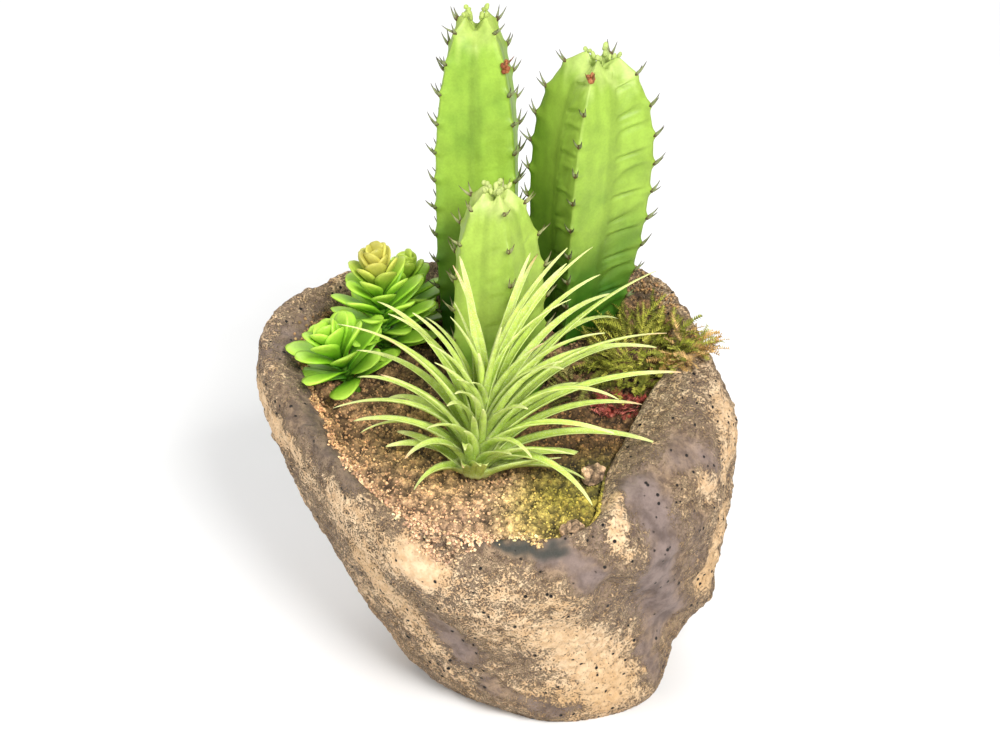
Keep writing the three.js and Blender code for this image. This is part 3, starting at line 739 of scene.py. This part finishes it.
def girth(cactus, t):
    """Share of the widest radius at a share of the height: swelling, then rounded off."""
    foot, widest, blunt = cactus["foot"], cactus["widest"], cactus["blunt"]
    swell = foot + (1 - foot) * np.sin(np.minimum(t / widest, 1) * math.pi / 2)
    rounding = np.sqrt(np.maximum(0, 1 - 0.93 * (np.maximum(t - blunt, 0) / (1 - blunt)) ** 2))
    return np.where(t < widest, swell, rounding)


def areole_share(cactus, k):
    return (k + 0.9) / (cactus["areoles"] + 0.4)


def areole_count(cactus, t):
    """How many areoles up a rib a share of the height is, in whole numbers and parts."""
    return t * (cactus["areoles"] + 0.4) - 0.9


def level(cactus, t):
    """The height above the sand at a share of the whole stem, part of which is buried."""
    return -BURIED + (cactus["height"] + BURIED) * t


def off_rib(cactus, angle):
    """How far round from the nearest rib, from 0 on the rib to 1 in the valley."""
    half = math.pi / cactus["ribs"]
    return np.abs((angle + half) % (2 * half) - half) / half


def rib_share(cactus, angle):
    """A star with flat faces: 1 at the tip of a rib, and the valley's share between two."""
    half, valley = math.pi / cactus["ribs"], cactus["valley"]
    away = off_rib(cactus, angle) * half
    depth = valley * math.sin(half)
    face = depth / (depth * np.cos(away) + (1 - valley * math.cos(half)) * np.sin(away))
    return face - 0.035 * np.exp(-((away / 0.07) ** 2)) + 0.01 * np.exp(-(((half - away) / 0.07) ** 2))


def creases(cactus, angle, t):
    """How deep the slanting creases are: one to each areole, on the face before each rib."""
    half = math.pi / cactus["ribs"]
    before = np.clip(-((angle + half) % (2 * half) - half) / half, 0, 1)
    phase = areole_count(cactus, t)
    slant = (1.35 * phase + 0.7 * before + 0.15 * np.sin(5 * phase) + 0.5) % 1 - 0.5
    fold = np.exp(-((slant / 0.15) ** 2)) - 0.5 * np.exp(-(((slant - 0.27) / 0.17) ** 2))
    across = np.sin(math.pi * np.clip(before * 1.1 - 0.04, 0, 1)) ** 0.7
    return cactus["crease"] * fold * across


def stem_radius(cactus, angle, t):
    """Radius of the stem's skin: flat-faced ribs, a tooth at each areole, slanting creases on the faces."""
    phase = areole_count(cactus, t)
    gap = np.abs(phase - np.round(phase))
    tooth = np.exp(-((off_rib(cactus, angle) / 0.13) ** 2)) * (1.3 * np.exp(-((gap / 0.16) ** 2)) - 0.35)
    return cactus["radius"] * girth(cactus, t) * rib_share(cactus, angle) + tooth - creases(cactus, angle, t)


def stem_rings(cactus, angle, heights, ridge):
    """The skin ring by ring, and three smaller rings down into the crown."""
    rings = []
    for t in heights:
        r = stem_radius(cactus, angle, t)
        crown = 1 - CROWN_DIP * (1 - ridge) * smoothstep(0.9, 1.0, t)
        rings.append(np.stack([r * np.cos(angle), r * np.sin(angle), level(cactus, t * crown)], axis=1))
    top = rings[-1]
    for share in CROWN_RINGS:
        ring = top * [share, share, 1]
        ring[:, 2] -= (1 - share) * CROWN_DIP * cactus["height"]
        rings.append(ring)
    return np.concatenate(rings)


def stem_tint(cactus, points, t, edge, folded):
    """Deep green low down, partly the stem's own paint and partly painted shade near the sand and between the
    stems; painted shade in the valleys and the creases; pale along the ribs' edges and over the crown.
    """
    seed = Vector((cactus["seed"],) * 3)
    mottled = np.array([noise.fractal(Vector(p) / 16 + seed, 0.8, 2, 3) for p in points])
    streaks = np.array([noise.noise(Vector((p[0] / 2.2, p[1] / 2.2, p[2] / 14)) + seed) for p in points])
    # Darker towards the foot: partly the stem's own paint, partly painted shade near the sand and between the
    # stems.
    tint = blend(cactus["low"], cactus["high"], np.clip(smoothstep(0.08, 0.60, t) + 0.30 * mottled, 0, 1))
    tint = tint * (1 + 0.10 * streaks[:, None])
    tint = blend(tint, cactus["crest"], np.clip(smoothstep(CREST_DEPTH, 1.0, edge) * (0.15 + 0.7 * t), 0, 1))
    # Painted shade in the valleys between the ribs.
    tint = blend(tint, tint * 0.72, 0.8 * smoothstep(0.10, 0.0, edge))
    # Painted shade in the slanting creases.
    tint = blend(tint, tint * 0.74, np.clip(0.55 * folded, 0, 0.6))
    return blend(tint, cactus["crest"], 0.75 * smoothstep(0.88, 1.0, t + 0.05 * streaks))


def make_stem(name, cactus, material):
    sides, levels = 180, 230
    angle = np.arange(sides) / sides * TURN
    heights = np.linspace(0, 1, levels)
    ridge = (rib_share(cactus, angle) - cactus["valley"]) / (1 - cactus["valley"])
    points = stem_rings(cactus, angle, heights, ridge)
    crown = len(CROWN_RINGS)
    t = np.concatenate([np.repeat(heights, sides), np.ones(crown * sides)])
    # How deep the creases are, for the painted shade in them.
    folded = np.concatenate([creases(cactus, angle, t) for t in heights] + [np.zeros(crown * sides)])
    sculpt = Sculpt()
    place = plant_frame(**cactus["place"])
    tint = stem_tint(cactus, points, t, np.tile(ridge, levels + crown), folded)
    sculpt.add(points, tube_faces(levels + crown, sides), tint, place)
    for rib in range(cactus["ribs"]):
        add_crown_knobs(sculpt, cactus, spun(place, rib / cactus["ribs"] * TURN), rib)
    return sculpt.piece(name + "_stem", material, cactus["slot"], (name,))


def add_crown_knobs(sculpt, cactus, place, rib):
    for step, (share, tall) in enumerate(CROWN_KNOBS):
        out = cactus["radius"] * 0.27 * share
        up = level(cactus, 1 - 0.012 * (1 - share) * step)
        spot = Matrix.Translation((out, 0.5 * spread(rib + 3 * step), up))
        lean = Matrix.Rotation(0.35 * spread(7 * rib + step) + 0.25, 4, "Y")
        points, faces = ball_points(0.75, 0.95, tall * (1 + 0.3 * spread(5 * rib + step)), 8, 12)
        shade = np.asarray(cactus["crest"]) * (0.86 + 0.14 * spread(11 * rib + step))
        sculpt.add(points, faces, shade, place @ spot @ lean)


def ball_points(x, y, z, rings, sides):
    """A lumpy ball with those half sizes."""
    points = []
    for k in range(rings):
        latitude = (k + 0.5) / rings * math.pi
        for a, east, north in circle(sides):
            wide = math.sin(latitude) * (1 + 0.10 * math.sin(3 * a + 1.7 * k))
            points.append((x * wide * east, y * wide * north, -z * math.cos(latitude)))
    return points, tube_faces(rings, sides)


def spine_points(length, radius, rise, fork):
    """A curved spine from the origin towards +X, rising and turned to one side."""
    points, shares = [], []
    for s in np.linspace(0, 1, SPINE["rings"]):
        along = -1.0 + (length + 1.0) * s
        lift = 1.5 * s * s
        thick = radius * (0.62 + 0.38 * math.sin(math.pi * min(s * 1.6, 1))) * (1 - s) ** 0.55 + 0.04
        for _, east, north in circle(SPINE["sides"]):
            points.append(Vector((along, thick * east, lift + thick * north)))
            shares.append(s)
    turn = Matrix.Rotation(math.radians(fork), 3, "Z") @ Matrix.Rotation(-math.radians(rise), 3, "Y")
    return [turn @ p for p in points], np.array(shares)


def add_rust(sculpt, spot, rng):
    """A rough brown cluster over an areole."""
    for _ in range(RUST_KNOBS):
        knob = spot @ Matrix.Translation((0.3, rng.uniform(-1.1, 1.1), rng.uniform(-2.2, 2.2)))
        points, faces = ball_points(*(rng.uniform(0.6, 1.2) for _ in range(3)), 6, 10)
        sculpt.add(points, faces, blend(RUST, PALE_RUST, rng.random()), knob)


def add_spine(sculpt, spot, side, colours, rusted, rng):
    length = SPINE["length"] * rng.uniform(0.75, 1.05)
    rise = SPINE["rise"] + rng.uniform(-14, 14)
    fork = side * SPINE["fork"] + rng.uniform(-10, 10)
    points, share = spine_points(length, SPINE["radius"] * rng.uniform(0.85, 1.1), rise, fork)
    tint = blend(*colours, smoothstep(0.45, 1.0, share))
    if rusted:
        tint = blend(tint, RUST, 0.8)
    else:
        tint = blend(tint, SPINE_FOOT_COLOUR, 1 - smoothstep(0.1, 0.4, share))
    there = spot @ Matrix.Translation((0, side * SPINE["apart"], 0))
    sculpt.add(points, tube_faces(SPINE["rings"], SPINE["sides"]), tint, there)


def make_spines(name, cactus, material):
    """A pair of spines on each areole of each rib."""
    rng = random.Random(cactus["seed"])
    sculpt = Sculpt()
    place = plant_frame(**cactus["place"])
    for rib in range(cactus["ribs"]):
        for k in range(1, cactus["areoles"]):
            t = areole_share(cactus, k)
            radius = float(stem_radius(cactus, np.array([0.0]), np.array([t]))[0])
            spot = spun(place, rib / cactus["ribs"] * TURN, radius - 0.25, level(cactus, t))
            rusted = (name, rib, k) in RUSTED
            points, faces = ball_points(0.45, 0.65, 0.9, 6, 10)
            sculpt.add(points, faces, RUST if rusted else AREOLE_COLOUR, spot)
            if rusted:
                add_rust(sculpt, spot, rng)
            for side in (-1, 1):
                add_spine(sculpt, spot, side, SPINE_COLOURS[cactus["slot"]], rusted, rng)
    return sculpt.piece(name + "_spines", material, cactus["slot"])


# ---------------------------------------------------------------- leaves


def leaf_shape(start, length, width, thick, rise, outline, channel, roll, stations, swerve=0.0, across=6):
    """A leaf in the plane of +X and +Z, from a radius outwards. rise(t) is its steepness in degrees and
    outline(t) the share of its width. Its edges curl up by channel. Gives points, shares along and across."""
    t = np.linspace(0, 1, stations + 1)
    slope = np.radians(rise(t))
    step = length / stations
    along = start + np.concatenate([[0], np.cumsum(step * np.cos(slope[:-1]))])
    up = np.concatenate([[0], np.cumsum(step * np.sin(slope[:-1]))])
    side = np.linspace(-1, 1, across + 1)
    loop = np.concatenate([side, side[-2:0:-1]])
    over = np.concatenate([np.ones(across + 1), np.zeros(across - 1)])
    points = []
    for k in range(stations + 1):
        w = max(0.5 * width * outline(t[k]), 0.06)
        h = thick * max(outline(t[k]) ** 0.7, 0.12)
        curl = channel * (1 - 0.45 * t[k]) * w * np.abs(loop) ** 1.5
        lift = curl + np.where(over > 0, 0.5, -0.5) * h * (1 - 0.8 * loop**2)
        tilt = roll * t[k]
        y = loop * w * math.cos(tilt) - lift * math.sin(tilt)
        lift = loop * w * math.sin(tilt) + lift * math.cos(tilt)
        x = along[k] - lift * math.sin(slope[k])
        z = up[k] + lift * math.cos(slope[k])
        points.append(np.stack([x, y + swerve * t[k] ** 2, z], axis=1))
    shares = np.repeat(t, len(loop))
    sides = np.tile(np.abs(loop), stations + 1)
    return np.concatenate(points), tube_faces(stations + 1, len(loop)), shares, sides


# ---------------------------------------------------------------- air plant

AIR_PLACE = dict(at=(-26, -34), lean=7, towards=0)
AIR_PITCH, AIR_HUB_HEIGHT = 3.2, 2.6
AIR_WHORLS = [
    dict(hub=8.0, leaves=9, arc=(150, 372), length=33, rise=(36, -12), width=5.4),
    dict(hub=7.2, leaves=12, arc=(140, 400), length=48, rise=(56, -24), width=5.2),
    dict(hub=6.4, leaves=13, arc=(135, 405), length=60, rise=(68, -12), width=5.0),
    dict(hub=5.6, leaves=13, arc=(130, 410), length=66, rise=(76, 8), width=4.9),
    dict(hub=4.8, leaves=12, arc=(0, 360), length=59, rise=(86, 8), width=4.7),
    dict(hub=3.4, leaves=10, arc=(20, 380), length=55, rise=(90, 36), width=4.4),
]
FRONT = math.radians(272)  # the blades on this side are shorter and steeper


def blade_outline(t):
    """A broad clasping base, then nearly even, then drawn out to a blunt point."""
    return (1 + 0.55 * (1 - smoothstep(0, 0.22, t))) * (0.93 * (1 - t) ** 0.62 + 0.07)


def air_tint(t, s, seed):
    """Pale and yellow at the foot, green in the middle, pale at the tip and along the edges."""
    tint = blend((0.52, 0.60, 0.19), (0.38, 0.52, 0.055), smoothstep(0.02, 0.2, t))
    tint = blend(tint, (0.52, 0.66, 0.10), smoothstep(0.2, 0.65, t))
    tint = blend(tint, (0.72, 0.76, 0.27), smoothstep(0.7, 1.0, t))
    if seed % 7 == 3:
        tint = blend(tint, (0.72, 0.33, 0.20), 0.8 * smoothstep(0.84, 1.0, t))
    tint = blend(tint, (0.76, 0.82, 0.34), 0.55 * smoothstep(0.62, 1.0, s))
    return tint * (1 + 0.14 * spread(seed + 400))


def add_blade(sculpt, whorl, angle, seed, place):
    reach = 0.22 * math.cos(angle - math.radians(30))
    front = max(0.0, math.cos(angle - FRONT)) ** 2
    length = whorl["length"] * (1 + 0.1 * spread(seed + 31) + reach) * (1 - 0.34 * front)
    start, end = whorl["rise"]
    start = start + (84 - start) * 0.55 * front + 7 * spread(seed + 17)
    end = end + (60 - end) * 0.55 * front + 22 * spread(seed + 23)
    ease = 1.1 + 0.3 * spread(seed + 70)
    width = whorl["width"] * (1 + 0.12 * spread(seed + 11))
    points, faces, t, s = leaf_shape(
        whorl["hub"] - 3.2, length, width, 0.95, lambda t: start + (end - start) * t**ease, blade_outline,
        channel=0.75, roll=0.6 * spread(seed + 91), stations=28, swerve=12 * spread(seed + 55),
    )
    sculpt.add(points, faces, air_tint(t, s, seed), place)


def make_air_plant(material):
    sculpt = Sculpt()
    place = plant_frame(**AIR_PLACE)
    for k, whorl in enumerate(AIR_WHORLS):
        low, high = whorl["arc"]
        gaps = whorl["leaves"] - (high - low < 360)
        for i in range(whorl["leaves"]):
            seed = 7 * k + i
            angle = math.radians(low + (high - low) * i / gaps + 4 * spread(seed))
            spot = spun(place, angle, up=k * AIR_PITCH + AIR_HUB_HEIGHT / 2)
            add_blade(sculpt, whorl, angle, seed, spot)
    nodes = [f"air_plant_whorl_{k + 1}" for k in range(len(AIR_WHORLS))]
    return sculpt.piece("air_plant_blades", material, "air_leaf", nodes)


# ---------------------------------------------------------------- sedum

GOLDEN = math.radians(137.5)
SPRIGS = {
    "centre_sprig": dict(
        place=dict(at=(-57, 28), lean=5, towards=170), whorls=7, height=44,
        leaf=20, width=9.6, leaves=46, olive=1.0,
    ),
    "left_sprig": dict(
        place=dict(at=(-68, 10), lean=22, towards=190), whorls=5, height=27,
        leaf=21, width=11.5, leaves=24, olive=0.0,
    ),
    "back_sprig": dict(
        place=dict(at=(-51, 44), lean=4, towards=90), whorls=5, height=33,
        leaf=15, width=8.5, leaves=30, olive=0.4,
    ),
}


def sedum_outline(t):
    """A narrow foot that widens to a rounded end."""
    widening = 0.34 + 0.66 * smoothstep(0.0, 0.66, t)
    return widening * np.sqrt(np.clip(1 - (np.clip(t - 0.66, 0, 1) / 0.345) ** 2, 0, 1))


def sedum_tint(t, s, age, olive, seed):
    """Deep green at the foot of a leaf and fresh green at its end, turning olive towards the bud."""
    tint = blend((0.060, 0.230, 0.008), (0.250, 0.520, 0.024), smoothstep(0.0, 0.45, t))
    tint = blend(tint, (0.460, 0.680, 0.080), 0.75 * smoothstep(0.4, 1.0, t))
    ripe = np.clip(olive * smoothstep(0.62, 0.96, 1 - age + 0.12 * t), 0, 1)
    tint = blend(tint, (0.500, 0.460, 0.085), ripe)
    tint = blend(tint, tint * 1.22, smoothstep(0.6, 1.0, s))
    return tint * (1 + 0.14 * spread(seed))


def add_sprig_stem(sculpt, sprig, place):
    """The green stem, from inside the sand to inside the bud."""
    levels, sides = 12, 12
    points = []
    for s in np.linspace(0, 1, levels):
        radius = 1.6 - 0.7 * s + 0.08 * math.sin(9 * s)
        for _, east, north in circle(sides):
            points.append((radius * east, radius * north, -6 + (sprig["height"] - 4) * s))
    sculpt.add(points, tube_faces(levels, sides), (0.10, 0.24, 0.02), place)


def make_sprig(name, sprig, material):
    """Rounded leaves on a spiral, spreading low down and closing to a bud at the top."""
    sculpt = Sculpt()
    place = plant_frame(**sprig["place"])
    for i in range(sprig["leaves"]):
        age = 1 - i / (sprig["leaves"] - 1)
        grown = min(1.0, 0.42 + 0.9 * age)
        closed = (1 - age) ** 1.4
        low, high = 22 + 62 * closed, 8 + 68 * closed
        length = sprig["leaf"] * grown * (1 + 0.10 * spread(i + 5))
        points, faces, t, s = leaf_shape(
            0.9, length, sprig["width"] * (0.45 + 0.55 * grown), 1.9, lambda t: low + (high - low) * t,
            sedum_outline, channel=0.20, roll=0.25 * spread(i + 60), stations=14,
        )
        spot = spun(place, GOLDEN * i, up=2 + (sprig["height"] - 10) * (1 - age))
        sculpt.add(points, faces, sedum_tint(t, s, age, sprig["olive"], i), spot)
    add_sprig_stem(sculpt, sprig, place)
    nodes = [name + "_stem"] + [f"{name}_whorl_{k + 1}" for k in range(sprig["whorls"])]
    return sculpt.piece(name + "_leaves", material, "sedum_leaf", nodes)


# ---------------------------------------------------------------- moss

TUFTS = [
    dict(name="olive_moss", middle=(31, 22), reach=(16, 15), sprigs=210, length=(7, 14), lift=4.5, seed=21,
         colours=[(0.30, 0.31, 0.035), (0.46, 0.44, 0.07), (0.16, 0.17, 0.02)], slot="moss",
         node="moss_mat"),
    dict(name="shaded_moss", middle=(9, 12), reach=(10, 8), sprigs=60, length=(5, 10), lift=1.0, seed=22,
         colours=[(0.24, 0.24, 0.05), (0.36, 0.31, 0.10), (0.10, 0.10, 0.02)], slot="moss",
         node="moss_under_leaves"),
    dict(name="straw_tuft", middle=(47, 15), reach=(9, 8), sprigs=95, length=(5, 9), lift=1.0, seed=23,
         colours=[(0.50, 0.30, 0.09), (0.62, 0.40, 0.16), (0.36, 0.36, 0.06)], slot="straw_moss",
         node="straw_moss"),
    dict(name="red_tuft", middle=(24, 0), reach=(8, 4), sprigs=60, length=(2.5, 5), lift=1.2, seed=24,
         colours=[(0.38, 0.07, 0.05), (0.55, 0.16, 0.12), (0.20, 0.04, 0.03)], slot="red_moss",
         node="red_moss"),
]


def moss_sprig(sculpt, place, length, colour, rng):
    """A thin curved stem with a fringe of narrow leaflets on both sides."""
    steps = max(5, int(length / 0.75))
    bend = rng.uniform(-0.5, 0.5)
    droop = rng.uniform(0.2, 0.9)
    centre = [Vector((s * length, bend * s * s * length * 0.5, length * (0.35 * s - droop * 0.5 * s * s)))
              for s in np.linspace(0, 1, steps + 1)]
    for k in range(steps):
        a, b = centre[k], centre[k + 1]
        along = (b - a).normalized()
        flank = along.cross(Vector((0, 0, 1))).normalized()
        size = (1.9 - 1.1 * k / steps) * rng.uniform(0.7, 1.2)
        shade = np.asarray(colour) * rng.uniform(0.65, 1.35)
        sculpt.add([a - flank * 0.14, a + flank * 0.14, b + flank * 0.12, b - flank * 0.12], [(0, 1, 2, 3)],
                   shade * 0.7, place)
        for side in (-1, 1):
            tip = a + along * size * 0.8 + flank * side * size + Vector((0, 0, rng.uniform(0.0, 0.6)))
            root = a + along * 0.55
            mid = (a + tip) * 0.5 + Vector((0, 0, 0.15))
            sculpt.add([a, root, tip, mid], [(0, 1, 2), (0, 2, 3)], shade, place)


def make_moss(tuft, ground, material):
    """Sprigs that fan out from the middle of a tuft and lie on the highest ground under them."""
    rng = random.Random(tuft["seed"])
    sculpt = Sculpt()
    cx, cy = tuft["middle"]
    for _ in range(tuft["sprigs"]):
        far, angle = math.sqrt(rng.random()), rng.uniform(0, TURN)
        x = cx + tuft["reach"][0] * far * math.cos(angle)
        y = cy + tuft["reach"][1] * far * math.sin(angle)
        hits = [tree.ray_cast(Vector((x, y, 200)) * MM, Vector((0, 0, -1)))[0] for tree in ground]
        z = max((hit.z / MM for hit in hits if hit), default=sand_height(x, y))
        heading = angle + rng.uniform(-1.2, 1.2)
        tip = rng.uniform(-0.7, 0.25)
        place = spun(Matrix.Translation((x, y, z + rng.uniform(0.2, tuft["lift"] + 1.5))), heading)
        place = place @ Matrix.Rotation(tip, 4, "Y") @ Matrix.Rotation(rng.uniform(-0.8, 0.8), 4, "X")
        moss_sprig(sculpt, place, rng.uniform(*tuft["length"]), rng.choice(tuft["colours"]), rng)
    return sculpt.piece(tuft["name"], material, tuft["slot"], (tuft["node"],))


# ---------------------------------------------------------------- stage

VIEW = {"target": (-17.4, 0, 110.6), "distance": 807, "elevation": math.radians(30), "lens": 85}
STUDIO_LIGHT = 0.36
# Soft square lamps: name, place in metres, width and power.
LAMPS = [
    ("key", (0.38, -0.85, 0.95), 0.45, 19),
    ("fill", (-0.9, -0.5, 0.7), 0.9, 6),
    ("back", (-0.1, 1.0, 1.0), 1.2, 9),
]
LIT_PLACE = (-0.015, 0, 0.09)


def make_floor():
    bpy.ops.mesh.primitive_grid_add(x_subdivisions=8, y_subdivisions=8, size=6)
    floor = bpy.context.object
    floor.name = "floor"
    floor.data.materials.append(floor_paint())


def add_lamp(name, place, size, power):
    light = bpy.data.lights.new(name, "AREA")
    light.size = size
    light.energy = power
    lamp = bpy.data.objects.new(name, light)
    lamp.location = place
    lamp.rotation_euler = (Vector(LIT_PLACE) - Vector(place)).to_track_quat("-Z", "Y").to_euler()
    bpy.context.collection.objects.link(lamp)


def make_camera():
    """The main view: from the front, from above, with a longish lens."""
    elevation = VIEW["elevation"]
    away = VIEW["distance"] * Vector((0, -math.cos(elevation), math.sin(elevation)))
    camera = bpy.data.cameras.new("camera")
    camera.lens = VIEW["lens"]
    viewer = bpy.data.objects.new("camera", camera)
    viewer.location = (Vector(VIEW["target"]) + away) * MM
    viewer.rotation_euler = (math.pi / 2 - elevation, 0, 0)
    bpy.context.collection.objects.link(viewer)
    bpy.context.scene.camera = viewer


def make_world():
    """A bright white studio, shown with plain sRGB tones."""
    bpy.context.scene.view_settings.view_transform = "Standard"
    world = bpy.data.worlds.new("studio")
    world.use_nodes = True
    background = world.node_tree.nodes["Background"]
    background.inputs["Color"].default_value = (1, 1, 1, 1)
    background.inputs["Strength"].default_value = STUDIO_LIGHT
    bpy.context.scene.world = world


def stake_paint():
    """The plain dark green plastic of the hidden stakes and of the air plant's core."""
    paint = Paint("stake", roughness=0.6)
    cloud = paint.noise(5, 3)
    paint.relief((cloud, 0.05))
    return paint.finish(paint.mix(paint.range(cloud, 0.3, 0.7), (0.055, 0.090, 0.025), (0.090, 0.130, 0.040)))


def finish_hidden_nodes():
    """Materials for the CAD nodes that stay as they are, all inside the foam or the plants."""
    stake = stake_paint()
    finishes = {"foam_block": foam_paint(), "air_plant_core": stake}
    finishes.update({name + "_stake": stake for name in CACTI})
    for node, material in finishes.items():
        NODES[node].data.materials.clear()
        NODES[node].data.materials.append(material)


make_camera()
make_world()
make_floor()
for lamp in LAMPS:
    add_lamp(*lamp)

sand_material = sand_paint("sand", 0.5)
grain_material = sand_paint("grains", 0.12)
cactus_material = plastic_plant_paint("cactus_skin", 0.46, 0.10, 0.8, 0.03)
spine_material = plastic_plant_paint("spines", 0.5, 0.15, 0.5, 0.02)
sedum_material = plastic_plant_paint("sedum_skin", 0.40, 0.10, 1.2, 0.03)
moss_material = plastic_plant_paint("moss_fibre", 0.9, 0.2, 0.8, 0.03)

planter = make_planter()
sand = crumbly_piece("sand_bed", "sand_surface", SAND_VOXEL, sand_material)
crumbly_piece("front_grit_lump", "front_grit", LUMP_VOXEL, sand_material, LUMP_COLOUR)
crumbly_piece("side_grit_lump", "side_grit", LUMP_VOXEL, sand_material, LUMP_COLOUR)
make_bed_grains(sand, grain_material)
make_wall_grains(planter, grain_material)
make_lip_grains(planter, grain_material)
for name, cactus in CACTI.items():
    make_stem(name, cactus, cactus_material)
    make_spines(name, cactus, spine_material)
make_air_plant(air_leaf_paint())
for name, sprig in SPRIGS.items():
    make_sprig(name, sprig, sedum_material)
ground = [tree_of(sand), tree_of(planter)]
for tuft in TUFTS:
    make_moss(tuft, ground, moss_material)
finish_hidden_nodes()
